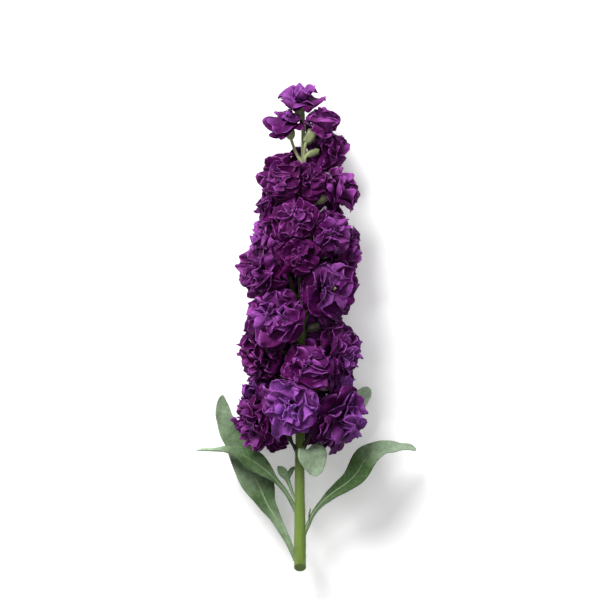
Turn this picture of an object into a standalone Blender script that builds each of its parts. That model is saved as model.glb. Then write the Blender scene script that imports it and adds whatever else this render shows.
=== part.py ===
"""A cut stem of double-flowered stock, laid on a surface.

The stem lies along +Y, its cut end towards -Y and its tip towards +Y, with +Z up.
The origin is on the surface, under the middle of the whole stem.
Each bloom is its own solid, three rings of waved petals that stand on thick hubs. The green stem
carries a stalk and a four-toothed calyx for every bloom, and each leaf is its own blade.
"""

import math
import random
from collections import namedtuple

import bmesh
import bpy
from mathutils import Matrix, Vector

MM = 0.001

# Driving dimensions of the stem. Its place centres the whole plant, leaves and all, on the origin
CUT_END_Y = -143.2 * MM
STEM_X = -4.1 * MM
AXIS_HEIGHT = 30.6 * MM
CUT_ANGLE = math.radians(38)
NODE_GAP = 0.35 * MM

# The stem's centre line: distance from the cut end, sideways drift and radius, in millimetres
STEM_LINE = (
    (0, 0.0, 3.45),
    (20, 0.0, 3.4),
    (45, -0.2, 2.95),
    (62, -0.2, 2.75),
    (85, 0.1, 2.6),
    (120, 0.5, 2.2),
    (160, 0.9, 1.9),
    (200, 1.4, 1.6),
    (232, 1.8, 1.35),
    (250, 1.9, 1.1),
    (266, 1.9, 0.95),
)

# Blooms from the lowest to the tip: distance of the bloom's middle from the cut end, angle round
# the stem (0 faces up, 90 faces +X), reach from the stem's axis, radius, and pitch towards the tip
Bloom = namedtuple("Bloom", "along around reach radius pitch")
BLOOMS = (
    Bloom(84, -137, 27.0, 15.0, -5),
    Bloom(85, 139, 27.0, 15.0, -5),
    Bloom(87, -67, 30.0, 15.0, -18),
    Bloom(89, 54, 29.5, 17.5, -12),
    Bloom(97, -12, 26.0, 17.0, -6),
    Bloom(99, 180, 26.0, 15.0, 5),
    Bloom(103, -91, 27.0, 13.0, 0),
    Bloom(109, 96, 24.0, 11.0, 10),
    Bloom(113, -132, 25.5, 14.5, 8),
    Bloom(117, 133, 25.0, 14.5, 8),
    Bloom(119, 10, 23.5, 14.5, 30),
    Bloom(125, -72, 25.5, 15.0, -12),
    Bloom(129, 66, 26.5, 15.0, -5),
    Bloom(129, 178, 25.5, 15.0, 10),
    Bloom(142, -130, 25.5, 14.5, 10),
    Bloom(145, 126, 22.5, 13.5, 10),
    Bloom(148, -36, 25.0, 17.0, 12),
    Bloom(150, -90, 18.5, 11.5, 0),
    Bloom(156, 88, 19.5, 11.5, 5),
    Bloom(158, -179, 25.5, 15.0, 10),
    Bloom(165, 42, 26.0, 16.0, -4),
    Bloom(172, -136, 24.5, 14.0, 10),
    Bloom(173, 131, 25.0, 14.0, 10),
    Bloom(173, -62, 27.5, 16.0, -8),
    Bloom(184, -2, 22.5, 13.0, -8),
    Bloom(186, -178, 23.5, 14.0, 12),
    Bloom(187, 85, 26.0, 13.5, 0),
    Bloom(194, -92, 21.0, 12.5, 5),
    Bloom(196, 40, 24.0, 13.5, 8),
    Bloom(200, 138, 22.0, 13.5, 15),
    Bloom(203, -11, 23.0, 14.5, 14),
    Bloom(205, -140, 20.0, 13.0, 15),
    Bloom(212, -78, 20.0, 12.0, 10),
    Bloom(216, 175, 18.5, 13.0, 20),
    Bloom(221, 72, 23.0, 14.5, 20),
    Bloom(226, 16, 15.0, 11.5, 28),
    Bloom(229, -40, 19.0, 14.5, 18),
    Bloom(235, 172, 13.0, 12.0, 30),
    Bloom(246, 104, 15.6, 14.5, 0),
    Bloom(261, 76, 10.0, 13.5, 62),
    Bloom(260, -72, 11.0, 14.0, 56),
    Bloom(274, -10, 2.5, 15.0, 80),
)

# How a bloom stands on its stalk
LEAST_CROSS = 0.2  # a bloom that faces nearer to straight up than this takes its side from +X
NECK_SETBACK = 0.45  # of the radius, from the bloom's middle back to the calyx mouth
DROOP_LIMIT = 3.2 * MM  # petals reach no further back than this behind the calyx mouth
STEM_CLEARANCE = 11.0 * MM  # petals come no nearer to the stem's axis, except at the tip
LEAST_CLEARANCE = 2.7 * MM
NEIGHBOUR_RANGE = 12 * MM
PRESS_POWER = 8
FLOOR_DIP = 1.2 * MM  # petals are pressed to this depth, and what is under the surface is cut off

# Petals, ring by ring: how many, the points along each waved edge, the lean from the bloom's axis
# at root and tip in degrees, then shares of the bloom's radius: length, wave, and the hub's
# radius, height over the calyx mouth and thickness at its middle
Ring = namedtuple("Ring", "petals edge root_lean tip_lean length wave hub rim thick")
RINGS = (
    Ring(5, 5, 66, 116, 0.95, 0.13, 0.27, 0.27, 0.48),
    Ring(4, 4, 34, 86, 0.92, 0.15, 0.24, 0.40, 0.36),
    Ring(3, 3, 2, 54, 0.72, 0.12, 0.18, 0.50, 0.28),
)
PETAL_THICKNESS = 0.7 * MM
SECTOR_FILL = 0.93  # of the angle that each petal of a ring has to itself
CORNER_CUT = 0.24  # a petal's corners end this share of its length before its middle
GROWTH = (0.90, 1.04)  # the spread of whole petals
EDGE_SPREAD = (0.94, 1.04)  # the spread of the points along one edge
WAVE_SPREAD = (0.5, 1.3)
LEAN_SPREAD = 14  # degrees either way
PATH_STEPS = 6

# Flower stalks and calyces
STALK_RADIUS = 0.8 * MM
STALK_END_RADIUS = 0.92 * MM
STALK_RISE = 14 * MM  # the most that a stalk climbs beside the stem
LEAST_RISE = 6 * MM
STALK_SLOPE = 0.9  # a stalk's climb for each unit of its reach
STALK_SAG = 0.12  # of the stalk's length, towards the cut end at its middle
CALYX_LENGTH = 8.5 * MM
CALYX_BELLY = 2.5 * MM
BELLY_PLACE = 0.45  # of the calyx's length, back from its mouth
CALYX_MOUTH = 2.2 * MM
NOTCH_RADIUS = 1.76 * MM
TOOTH_HEIGHT = 1.6 * MM

LEAF_THICKNESS = 0.8 * MM
SHOOT_RIB = 1.4 * MM

FLOOR_BLOCK = 0.5  # the side of the block that cuts the lowest petals level with the surface
SHARP_ANGLE = math.radians(50)  # smooth shading breaks at a steeper edge than this
WELD_DISTANCE = 0.001 * MM
ROUND_STEPS = 3  # how finely the stem's round section is divided

# Colour and roughness of each material
PETAL_LOOK = ((0.085, 0.010, 0.100), 0.62)
STEM_LOOK = ((0.165, 0.255, 0.060), 0.5)
LEAF_LOOK = ((0.090, 0.160, 0.070), 0.6)


def clear_scene():
    for obj in list(bpy.data.objects):
        bpy.data.objects.remove(obj)


def material(name, colour, roughness):
    made = bpy.data.materials.new(name)
    made.use_nodes = True
    shader = made.node_tree.nodes["Principled BSDF"]
    shader.inputs["Base Color"].default_value = (*colour, 1)
    shader.inputs["Roughness"].default_value = roughness
    shader.inputs["Metallic"].default_value = 0
    made.diffuse_color = (*colour, 1)
    return made


def add_object(name, mesh, surface=None):
    obj = bpy.data.objects.new(name, mesh)
    bpy.context.scene.collection.objects.link(obj)
    if surface:
        obj.data.materials.clear()
        obj.data.materials.append(surface)
    return obj


def mesh_from(name, points, faces):
    mesh = bpy.data.meshes.new(name)
    mesh.from_pydata([tuple(p) for p in points], [], faces)
    mesh.validate()
    return mesh


def smooth(obj):
    obj.data.shade_smooth()
    obj.data.set_sharp_from_angle(angle=SHARP_ANGLE)


def evaluated_mesh(obj):
    bpy.context.view_layer.update()
    graph = bpy.context.evaluated_depsgraph_get()
    return bpy.data.meshes.new_from_object(obj.evaluated_get(graph))


def apply_modifiers(obj):
    mesh = evaluated_mesh(obj)
    obj.modifiers.clear()
    obj.data = mesh


def face_outward(mesh):
    """Welds what touches and turns every face of a closed mesh to the outside."""
    shape = bmesh.new()
    shape.from_mesh(mesh)
    bmesh.ops.remove_doubles(shape, verts=shape.verts, dist=WELD_DISTANCE)
    bmesh.ops.recalc_face_normals(shape, faces=shape.faces)
    shape.to_mesh(mesh)
    shape.free()


def shells_of(shape):
    """The separate shells of a mesh, each as a list of faces that hang together by their edges."""
    left = set(shape.faces)
    shells = []
    while left:
        shell, reached = [], [left.pop()]
        while reached:
            face = reached.pop()
            shell.append(face)
            for edge in face.edges:
                for beside in edge.link_faces:
                    if beside in left:
                        left.remove(beside)
                        reached.append(beside)
        shells.append(shell)
    return shells


def enclosed_volume(faces):
    """The volume inside a shell, which is negative for a hollow."""
    volume = 0
    for face in faces:
        first = face.verts[0].co
        for second, third in zip(face.verts[1:], face.verts[2:]):
            volume += first.dot(second.co.cross(third.co)) / 6
    return volume


def keep_one_body(obj):
    """Fills the hollows that fusing sealed and drops loose scraps."""
    shape = bmesh.new()
    shape.from_mesh(obj.data)
    shells = sorted(shells_of(shape), key=enclosed_volume)
    spare = [face for shell in shells[:-1] for face in shell]
    bmesh.ops.delete(shape, geom=spare, context="FACES")
    shape.to_mesh(obj.data)
    shape.free()


def boolean(base, others, operation):
    """Joins the other objects to base or takes them from it, and removes them."""
    group = bpy.data.collections.new("worked into " + base.name)
    bpy.context.scene.collection.children.link(group)
    for other in others:
        for home in other.users_collection:
            home.objects.unlink(other)
        group.objects.link(other)
    work = base.modifiers.new("Boolean", "BOOLEAN")
    work.operation = operation
    work.operand_type = "COLLECTION"
    work.collection = group
    work.solver = "EXACT"
    apply_modifiers(base)
    keep_one_body(base)
    for other in others:
        bpy.data.objects.remove(other)
    bpy.data.collections.remove(group)


def fuse(base, others):
    """Joins base and the other objects into one body."""
    boolean(base, others, "UNION")


def cut_at_surface(obj):
    """Takes off what reaches under the surface, which leaves small flats to rest on."""
    if min(vertex.co.z for vertex in obj.data.vertices) >= 0:
        return
    bpy.ops.mesh.primitive_cube_add(size=FLOOR_BLOCK, location=(0, 0, -FLOOR_BLOCK / 2))
    boolean(obj, [bpy.context.object], "DIFFERENCE")


def stem_at(along):
    """The middle of the stem at this distance from its cut end, or past its tip in line with it."""
    drift = STEM_LINE[-1][1]
    for (a, drift_a, _), (b, drift_b, _) in zip(STEM_LINE, STEM_LINE[1:]):
        if a <= along / MM < b:
            drift = drift_a + (drift_b - drift_a) * (along / MM - a) / (b - a)
    return Vector((STEM_X + drift * MM, CUT_END_Y + along, AXIS_HEIGHT))


def outward(around):
    """The direction that leaves the stem's axis at this angle, in radians."""
    return Vector((math.sin(around), 0, math.cos(around)))


class Seat:
    """Where one bloom sits: its middle, the way it faces, and its calyx mouth."""

    def __init__(self, bloom):
        self.radius = bloom.radius * MM
        self.reach = bloom.reach * MM
        self.along = bloom.along * MM
        self.out = outward(math.radians(bloom.around))
        self.axis_point = stem_at(self.along)
        self.middle = self.axis_point + self.out * self.reach
        pitch = math.radians(bloom.pitch)
        self.facing = self.out * math.cos(pitch) + Vector((0, 1, 0)) * math.sin(pitch)
        self.neck = self.middle - self.facing * (NECK_SETBACK * self.radius)
        self.side = self.facing.cross(Vector((0, 0, 1)))
        if self.side.length < LEAST_CROSS:
            self.side = self.facing.cross(Vector((1, 0, 0)))
        self.side.normalize()
        self.up = self.side.cross(self.facing)

    def place(self, radial, angle, height):
        """A point at this distance from the bloom's axis, turned by angle, and above its neck."""
        spoke = self.side * math.cos(angle) + self.up * math.sin(angle)
        return self.neck + spoke * radial + self.facing * height


def walls_of(seat, seats):
    """The planes that a bloom stays behind, as (normal, distance from the bloom's middle)."""
    walls = []
    for other in seats:
        apart = other.middle - seat.middle
        if other is seat or apart.length > seat.radius + other.radius + NEIGHBOUR_RANGE:
            continue
        share = (apart.length_squared + seat.radius**2 - other.radius**2) / (2 * apart.length)
        walls.append((apart.normalized(), share))
    walls.append((Vector((0, 0, -1)), seat.middle.z + FLOOR_DIP))
    walls.append((-seat.facing, NECK_SETBACK * seat.radius + DROOP_LIMIT))
    neck_reach = (seat.neck - seat.axis_point).dot(seat.out)
    clearance = max(LEAST_CLEARANCE, min(STEM_CLEARANCE, neck_reach - DROOP_LIMIT))
    if seat.reach > clearance + DROOP_LIMIT:
        walls.append((-seat.out, seat.reach - clearance))
    return walls


def pressed(point, seat, walls, margin):
    """Draws a point towards the bloom's middle, smoothly, until it is behind every wall."""
    arm = point - seat.middle
    crowding = 0
    for normal, distance in walls:
        share = arm.dot(normal) / (distance - margin)
        if share > 0:
            crowding += share**PRESS_POWER
    return seat.middle + arm / (1 + crowding) ** (1 / PRESS_POWER)


def petal_point(seat, ring, angle, share, across, lift, lean_shift):
    """A point of a petal: how far along it, how far to the side, and its lift off the middle."""
    span = ring.tip_lean - ring.root_lean + lean_shift
    radial = ring.hub * seat.radius * math.cos(math.pi / ring.petals)
    height = ring.rim * seat.radius
    length = ring.length * seat.radius * share
    for step in range(PATH_STEPS):
        part = share * (step + 0.5) / PATH_STEPS
        lean = math.radians(ring.root_lean + span * part)
        radial += math.sin(lean) * length / PATH_STEPS
        height += math.cos(lean) * length / PATH_STEPS
    lean = math.radians(ring.root_lean + span * share)
    radial -= math.cos(lean) * lift
    height += math.sin(lean) * lift
    sideways = across * SECTOR_FILL * math.pi / ring.petals
    return seat.place(max(radial, PETAL_THICKNESS), angle + sideways, height)


def ring_mesh(seat, ring, start, walls, rng):
    """The middle surface of one ring: a hub with a waved petal on each of its sides."""
    rim = ring.rim * seat.radius
    points = [seat.place(0, 0, rim)]
    for corner in range(ring.petals):
        angle = start + (corner - 0.5) * math.tau / ring.petals
        points.append(seat.place(ring.hub * seat.radius, angle, rim))
    faces = []
    for petal in range(ring.petals):
        angle = start + petal * math.tau / ring.petals
        left, right = 1 + petal, 1 + (petal + 1) % ring.petals
        lean_shift = rng.uniform(-LEAN_SPREAD, LEAN_SPREAD)
        growth = rng.uniform(*GROWTH)
        wave = ring.wave * seat.radius * rng.choice((-1, 1))
        edge = []
        for number in range(ring.edge):
            across = 2 * number / (ring.edge - 1) - 1
            share = growth * (1 - CORNER_CUT * across**2) * rng.uniform(*EDGE_SPREAD)
            lift = wave * (1 if number % 2 else -1) * rng.uniform(*WAVE_SPREAD)
            edge.append(len(points))
            points.append(petal_point(seat, ring, angle, share, across, lift, lean_shift))
        faces.append((0, left, right))
        middle = (ring.edge - 1) // 2
        for number in range(ring.edge - 1):
            faces.append((left if number < middle else right, edge[number], edge[number + 1]))
        faces.append((left, edge[middle], right))
    margin = 0.5 * (PETAL_THICKNESS + NODE_GAP)
    points = [pressed(p, seat, walls, margin) for p in points]
    return mesh_from("ring", points, faces)


def ring_object(seat, ring, start, walls, rng):
    """A ring of petals as a solid, thin at the petals and thick at the middle of its hub."""
    made = add_object("ring", ring_mesh(seat, ring, start, walls, rng))
    thickness = made.vertex_groups.new(name="thickness")
    hub_thickness = ring.thick * seat.radius
    thickness.add([0], 1, "REPLACE")
    others = list(range(1, len(made.data.vertices)))
    thickness.add(others, PETAL_THICKNESS / hub_thickness, "REPLACE")
    solid = made.modifiers.new("Thickness", "SOLIDIFY")
    solid.thickness = hub_thickness
    solid.vertex_group = thickness.name
    solid.offset = 0
    apply_modifiers(made)
    return made


def build_bloom(name, seat, walls, rng, surface):
    """One double bloom: three rings of waved petals, hub on hub, fused into one body."""
    start = rng.uniform(0, math.tau)
    rings = []
    for ring in RINGS:
        start += math.pi / ring.petals
        rings.append(ring_object(seat, ring, start, walls, rng))
    bloom = rings[0]
    bloom.name = name
    bloom.data.materials.clear()
    bloom.data.materials.append(surface)
    fuse(bloom, rings[1:])
    cut_at_surface(bloom)


def stalk_line(seat):
    """Centre points and radii of a flower stalk, from inside the stem to the calyx's belly."""
    base = seat.neck - seat.facing * CALYX_LENGTH
    rise = min(STALK_RISE, STALK_SLOPE * (base - seat.axis_point).length + LEAST_RISE)
    root = stem_at(seat.along - rise - STALK_SAG * seat.reach)
    if seat.reach < LEAST_CLEARANCE:
        root = stem_at(STEM_LINE[-1][0] * MM - LEAST_RISE)
    middle = root.lerp(base, 0.5) - Vector((0, 1, 0)) * (STALK_SAG * (base - root).length)
    return [(root, STALK_RADIUS), (middle, STALK_RADIUS), (base, STALK_END_RADIUS)]


def stalk_mesh(name, seat):
    """A square stalk that widens into a cup with four teeth, one for each sepal."""
    line = stalk_line(seat)
    line.append((seat.neck - seat.facing * (BELLY_PLACE * CALYX_LENGTH), CALYX_BELLY))
    points, faces = [], []
    for number, (centre, radius) in enumerate(line):
        ahead = line[min(number + 1, len(line) - 1)][0]
        behind = line[max(number - 1, 0)][0]
        heading = (ahead - behind).normalized()
        side = (seat.side - heading * seat.side.dot(heading)).normalized()
        up = side.cross(heading)
        for corner in range(4):
            angle = corner * math.pi / 2
            points.append(centre + (side * math.cos(angle) + up * math.sin(angle)) * radius)
    for ring in range(len(line) - 1):
        for corner in range(4):
            a, b = 4 * ring + corner, 4 * ring + (corner + 1) % 4
            faces.append((a, b, b + 4, a + 4))
    faces.append((3, 2, 1, 0))
    mouth = len(points)
    for tooth in range(8):
        height = TOOTH_HEIGHT if tooth % 2 == 0 else 0
        radius = CALYX_MOUTH if tooth % 2 == 0 else NOTCH_RADIUS
        angle = tooth * math.pi / 4
        spoke = seat.side * math.cos(angle) + seat.up * math.sin(angle)
        points.append(seat.neck + spoke * radius + seat.facing * (height - NODE_GAP))
    points.append(seat.neck - seat.facing * NODE_GAP)
    last = 4 * (len(line) - 1)
    for corner in range(4):
        a, b = last + corner, last + (corner + 1) % 4
        tooth, notch, following = (mouth + (2 * corner + k) % 8 for k in range(3))
        faces += [(a, notch, tooth), (a, b, notch), (b, following, notch)]
        faces += [(tooth, notch, mouth + 8), (notch, following, mouth + 8)]
    mesh = mesh_from(name, points, faces)
    face_outward(mesh)
    return mesh


def build_stem(seats, surface):
    """The main stem, cut on the slant, with a stalk and a calyx for every bloom."""
    curve = bpy.data.curves.new("stem line", "CURVE")
    curve.dimensions = "3D"
    curve.bevel_depth = 1
    curve.bevel_resolution = ROUND_STEPS
    curve.use_fill_caps = True
    spline = curve.splines.new("POLY")
    spline.points.add(len(STEM_LINE) - 1)
    for point, (along, drift, radius) in zip(spline.points, STEM_LINE):
        point.co = (STEM_X + drift * MM, CUT_END_Y + along * MM, AXIS_HEIGHT, 1)
        point.radius = radius * MM
    line = add_object("stem line", curve)
    mesh = evaluated_mesh(line)
    bpy.data.objects.remove(line)
    lowest = AXIS_HEIGHT - STEM_LINE[0][2] * MM
    for vertex in mesh.vertices:
        if vertex.co.y < CUT_END_Y + MM:
            vertex.co.y += (vertex.co.z - lowest) * math.tan(CUT_ANGLE)
    face_outward(mesh)
    stem = add_object("stem", mesh, surface)
    fuse(stem, [add_object("stalk", stalk_mesh("stalk", seat)) for seat in seats])
    smooth(stem)


# Leaves as stations along the midrib: x and distance from the cut end, height over the stem's
# axis and full width, in millimetres, then the roll of the blade about its midrib in degrees
Station = namedtuple("Station", "across along height width roll")
LEAVES = {
    "leaf_lower_left": (
        Station(-3.8, 12.4, -0.1, 3.0, 0),
        Station(-5.3, 12.4, -0.2, 3.0, 0),
        Station(-7.7, 19.2, -1, 4.0, 0),
        Station(-14.2, 31.1, -4, 6.5, 4),
        Station(-19.1, 38.9, -5, 10.4, 8),
        Station(-22.9, 47.3, -6.5, 16.8, 10),
        Station(-26.9, 55.1, -8, 19.4, 10),
        Station(-32.6, 65.0, -9, 16.0, 6),
        Station(-37.0, 74.3, -10, 13.2, 0),
        Station(-41.4, 82.0, -10, 11.6, -8),
        Station(-43.8, 89.5, -9, 10.2, -12),
        Station(-45.2, 97.0, -7.5, 7.0, -12),
        Station(-45.0, 102.0, -6, 1.6, -8),
    ),
    "leaf_upper_left": (
        Station(-3.4, 38.8, 0.9, 2.4, 0),
        Station(-4.9, 38.8, 1.1, 2.4, 0),
        Station(-8.9, 47.4, 2.5, 2.6, 0),
        Station(-15.0, 54.6, 4, 4.0, 6),
        Station(-21.0, 60.2, 4, 9.4, 12),
        Station(-27.4, 64.6, 3.5, 12.4, 20),
        Station(-33.6, 68.0, 3, 11.6, 40),
        Station(-39.6, 69.8, 3, 10.0, 66),
        Station(-46.5, 70.3, 2, 9.0, 80),
        Station(-53.0, 70.4, 0, 7.0, 84),
        Station(-60.0, 70.4, -3, 2.0, 84),
    ),
    "leaf_right": (
        Station(3.7, 26.4, 0.4, 2.4, 0),
        Station(5.2, 26.4, 0.6, 2.4, 0),
        Station(7.6, 33.7, 1.5, 2.6, 0),
        Station(12.0, 39.6, 3, 3.6, -4),
        Station(18.6, 46.0, 5, 6.4, -8),
        Station(27.0, 52.2, 7, 9.6, -10),
        Station(32.8, 58.0, 8, 13.0, -12),
        Station(36.8, 64.6, 8, 13.8, -18),
        Station(41.4, 69.0, 6.5, 13.2, -32),
        Station(47.6, 71.4, 3.5, 11.0, -48),
        Station(55.0, 72.0, -1, 9.0, -56),
        Station(62.0, 71.6, -7, 6.2, -56),
        Station(67.8, 70.4, -12, 1.8, -56),
    ),
    "leaf_front": (
        Station(-0.3, 73.0, 3.1, 2.0, 0),
        Station(0.4, 73.0, 6.0, 2.4, 0),
        Station(3.2, 72.4, 10.0, 8.5, -3),
        Station(5.6, 70.6, 13.0, 13.6, -6),
        Station(7.3, 67.0, 15.2, 16.6, -8),
        Station(8.9, 62.5, 16.0, 14.4, -6),
        Station(10.2, 57.2, 15.5, 4.5, 0),
    ),
    "leaf_behind": (
        Station(3.1, 65.8, -0.9, 2.4, 0),
        Station(4.6, 65.8, -1.1, 2.4, 0),
        Station(9.0, 71.5, -2, 3.0, 6),
        Station(15.0, 78.0, -3, 3.6, 12),
        Station(22.5, 86.0, -5, 5.6, 16),
        Station(29.0, 93.2, -8, 8.6, 16),
        Station(34.4, 99.4, -11, 10.2, 12),
        Station(38.0, 103.0, -12.5, 8.4, 8),
        Station(40.6, 105.8, -13.5, 2.6, 0),
    ),
}
SHOOT_STALK = (
    Station(-3.35, 44.0, 0.5, 1.3, 0),
    Station(-4.3, 44.0, 0.7, 1.3, 0),
    Station(-5.3, 48.5, 1.2, 1.8, 0),
    Station(-7.4, 54.0, 1.2, 3.0, 0),
    Station(-10.2, 58.6, 2.0, 5.2, 0),
    Station(-12.9, 61.6, 2.4, 2.0, 0),
)
SHOOT_LEAFLET = (
    Station(-7.2, 52.8, 1.0, 1.4, 0),
    Station(-6.2, 57.0, -1.6, 3.4, 30),
    Station(-4.2, 59.8, -4.2, 3.4, 50),
    Station(-1.2, 59.8, -6.0, 1.2, 50),
)
AXIL_SCALE = (
    Station(5.6, 28.4, 0.6, 1.3, 60),
    Station(5.2, 33.4, 2.4, 1.3, 60),
    Station(6.2, 37.4, 3.2, 0.6, 60),
)
ARCH = 0.16  # a blade's edges stand this share of its width over its midrib
EDGE_WAVE = 0.8 * MM
WAVED_ABOVE = 5 * MM
RIB_AT_ROOT = 2.3 * MM
RIB_AT_TIP = 0.9 * MM


def station_point(station):
    x = STEM_X + station.across * MM
    return Vector((x, CUT_END_Y + station.along * MM, AXIS_HEIGHT + station.height * MM))


def blade_mesh(name, stations, columns):
    """The middle surface of a blade: a strip that dips to its midrib, with waved edges."""
    points, faces = [], []
    for number, station in enumerate(stations):
        centre = station_point(station)
        ahead = station_point(stations[min(number + 1, len(stations) - 1)])
        behind = station_point(stations[max(number - 1, 0)])
        heading = (ahead - behind).normalized()
        across = Matrix.Rotation(math.radians(station.roll), 3, heading) @ heading.cross(
            Vector((0, 0, 1))
        )
        across = (across - heading * across.dot(heading)).normalized()
        normal = across.cross(heading)
        half = 0.5 * station.width * MM
        wave = EDGE_WAVE if 2 * half > WAVED_ABOVE else 0
        for column in range(columns):
            side = 2 * column / (columns - 1) - 1
            lift = ARCH * 2 * half * abs(side)
            lift += side * abs(side) * wave * (1 if number % 2 else -1)
            points.append(centre + across * (side * half) + normal * lift)
    for number in range(len(stations) - 1):
        for column in range(columns - 1):
            a = columns * number + column
            b = a + columns
            if 2 * column < columns - 1:
                faces += [(a, a + 1, b), (a + 1, b + 1, b)]
            else:
                faces += [(a, a + 1, b + 1), (a, b + 1, b)]
    return mesh_from(name, points, faces)


def build_blade(name, stations, surface, columns=5, rib=RIB_AT_ROOT):
    """A blade that is thickest along its midrib, most of all at its stalk."""
    blade = add_object(name, blade_mesh(name, stations, columns), surface)
    thickness = blade.vertex_groups.new(name="thickness")
    for number in range(len(stations)):
        share = number / (len(stations) - 1)
        rib_here = rib + (min(rib, RIB_AT_TIP) - rib) * share
        for column in range(columns):
            on_rib = column == columns // 2
            weight = (rib_here if on_rib else LEAF_THICKNESS) / max(rib, LEAF_THICKNESS)
            thickness.add([columns * number + column], weight, "REPLACE")
    solid = blade.modifiers.new("Thickness", "SOLIDIFY")
    solid.thickness = max(rib, LEAF_THICKNESS)
    solid.vertex_group = thickness.name
    solid.offset = 0
    apply_modifiers(blade)
    smooth(blade)
    return blade


def build_leaves(surface):
    """The five leaves and the small shoot and scale in their axils."""
    leaves = {name: build_blade(name, line, surface) for name, line in LEAVES.items()}
    small = {"surface": surface, "columns": 3, "rib": LEAF_THICKNESS}
    fuse(leaves["leaf_right"], [build_blade("axil_scale", AXIL_SCALE, **small)])
    shoot = build_blade("axil_shoot", SHOOT_STALK, surface, columns=3, rib=SHOOT_RIB)
    fuse(shoot, [build_blade("leaflet", SHOOT_LEAFLET, **small)])


def main():
    clear_scene()
    petal_surface = material("petal", *PETAL_LOOK)
    stem_surface = material("stem", *STEM_LOOK)
    leaf_surface = material("leaf", *LEAF_LOOK)
    seats = [Seat(bloom) for bloom in BLOOMS]
    for number, seat in enumerate(seats, start=1):
        rng = random.Random(number)
        build_bloom(f"bloom_{number:02d}", seat, walls_of(seat, seats), rng, petal_surface)
    build_stem(seats, stem_surface)
    build_leaves(leaf_surface)


main()
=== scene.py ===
"""Finished looks of a cut stem of double-flowered stock that lies on a pale surface.

Every bloom is remade from thin ruffled petals, laid whorl by whorl inside the space that its
plain solid keeps from its neighbours. The stem gets its down, flower stalks and hairy calyces,
and the leaves their pale midribs, side veins and felt.
"""

import math
import random
from collections import namedtuple

import bpy
import numpy as np
from mathutils import Matrix, Vector


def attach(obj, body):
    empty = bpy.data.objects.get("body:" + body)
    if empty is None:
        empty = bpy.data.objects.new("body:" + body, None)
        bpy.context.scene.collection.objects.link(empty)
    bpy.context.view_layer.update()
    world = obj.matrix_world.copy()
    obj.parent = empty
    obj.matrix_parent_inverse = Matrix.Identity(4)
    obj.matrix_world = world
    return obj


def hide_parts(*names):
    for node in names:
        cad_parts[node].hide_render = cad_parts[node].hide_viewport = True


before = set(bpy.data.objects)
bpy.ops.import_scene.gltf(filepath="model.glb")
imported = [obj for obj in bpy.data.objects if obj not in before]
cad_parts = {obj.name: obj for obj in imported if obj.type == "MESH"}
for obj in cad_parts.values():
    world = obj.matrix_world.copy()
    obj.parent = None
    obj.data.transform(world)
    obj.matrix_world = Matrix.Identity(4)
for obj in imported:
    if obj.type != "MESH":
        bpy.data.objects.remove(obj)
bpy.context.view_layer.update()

MM = 0.001

# The stem lies along +Y: where its cut end and its axis are
CUT_END_Y = -143.2 * MM
STEM_X = -4.1 * MM
AXIS_HEIGHT = 30.6 * MM
CUT_ANGLE = math.radians(38)

# The stem's centre line: distance from the cut end, sideways drift and radius, in millimetres
STEM_LINE = (
    (0, 0.0, 3.45),
    (20, 0.0, 3.4),
    (45, -0.2, 2.95),
    (62, -0.2, 2.75),
    (85, 0.1, 2.6),
    (120, 0.5, 2.2),
    (160, 0.9, 1.9),
    (200, 1.4, 1.6),
    (232, 1.8, 1.35),
    (250, 1.9, 1.1),
    (266, 1.9, 0.95),
)

# Blooms from the lowest to the tip: distance of the bloom's middle from the cut end, angle
# round the stem (0 faces up, 90 faces +X), reach from the stem's axis and radius, and pitch
# towards the tip, in millimetres and degrees
Bloom = namedtuple("Bloom", "along around reach radius pitch")
BLOOMS = (
    Bloom(84, -137, 27.0, 15.0, -5),
    Bloom(85, 139, 27.0, 15.0, -5),
    Bloom(87, -67, 30.0, 15.0, -18),
    Bloom(89, 54, 29.5, 17.5, -12),
    Bloom(97, -12, 26.0, 17.0, -6),
    Bloom(99, 180, 26.0, 15.0, 5),
    Bloom(103, -91, 27.0, 13.0, 0),
    Bloom(109, 96, 24.0, 11.0, 10),
    Bloom(113, -132, 25.5, 14.5, 8),
    Bloom(117, 133, 25.0, 14.5, 8),
    Bloom(119, 10, 23.5, 14.5, 30),
    Bloom(125, -72, 25.5, 15.0, -12),
    Bloom(129, 66, 26.5, 15.0, -5),
    Bloom(129, 178, 25.5, 15.0, 10),
    Bloom(142, -130, 25.5, 14.5, 10),
    Bloom(145, 126, 22.5, 13.5, 10),
    Bloom(148, -36, 25.0, 17.0, 12),
    Bloom(150, -90, 18.5, 11.5, 0),
    Bloom(156, 88, 19.5, 11.5, 5),
    Bloom(158, -179, 25.5, 15.0, 10),
    Bloom(165, 42, 26.0, 16.0, -4),
    Bloom(172, -136, 24.5, 14.0, 10),
    Bloom(173, 131, 25.0, 14.0, 10),
    Bloom(173, -62, 27.5, 16.0, -8),
    Bloom(184, -2, 22.5, 13.0, -8),
    Bloom(186, -178, 23.5, 14.0, 12),
    Bloom(187, 85, 26.0, 13.5, 0),
    Bloom(194, -92, 21.0, 12.5, 5),
    Bloom(196, 40, 24.0, 13.5, 8),
    Bloom(200, 138, 22.0, 13.5, 15),
    Bloom(203, -11, 23.0, 14.5, 14),
    Bloom(205, -140, 20.0, 13.0, 15),
    Bloom(212, -78, 20.0, 12.0, 10),
    Bloom(216, 175, 18.5, 13.0, 20),
    Bloom(221, 72, 23.0, 14.5, 20),
    Bloom(226, 16, 15.0, 11.5, 28),
    Bloom(229, -40, 19.0, 14.5, 18),
    Bloom(235, 172, 13.0, 12.0, 30),
    Bloom(246, 104, 15.6, 14.5, 0),
    Bloom(261, 76, 10.0, 13.5, 62),
    Bloom(260, -72, 11.0, 14.0, 56),
    Bloom(274, -10, 2.5, 15.0, 80),
)

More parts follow.
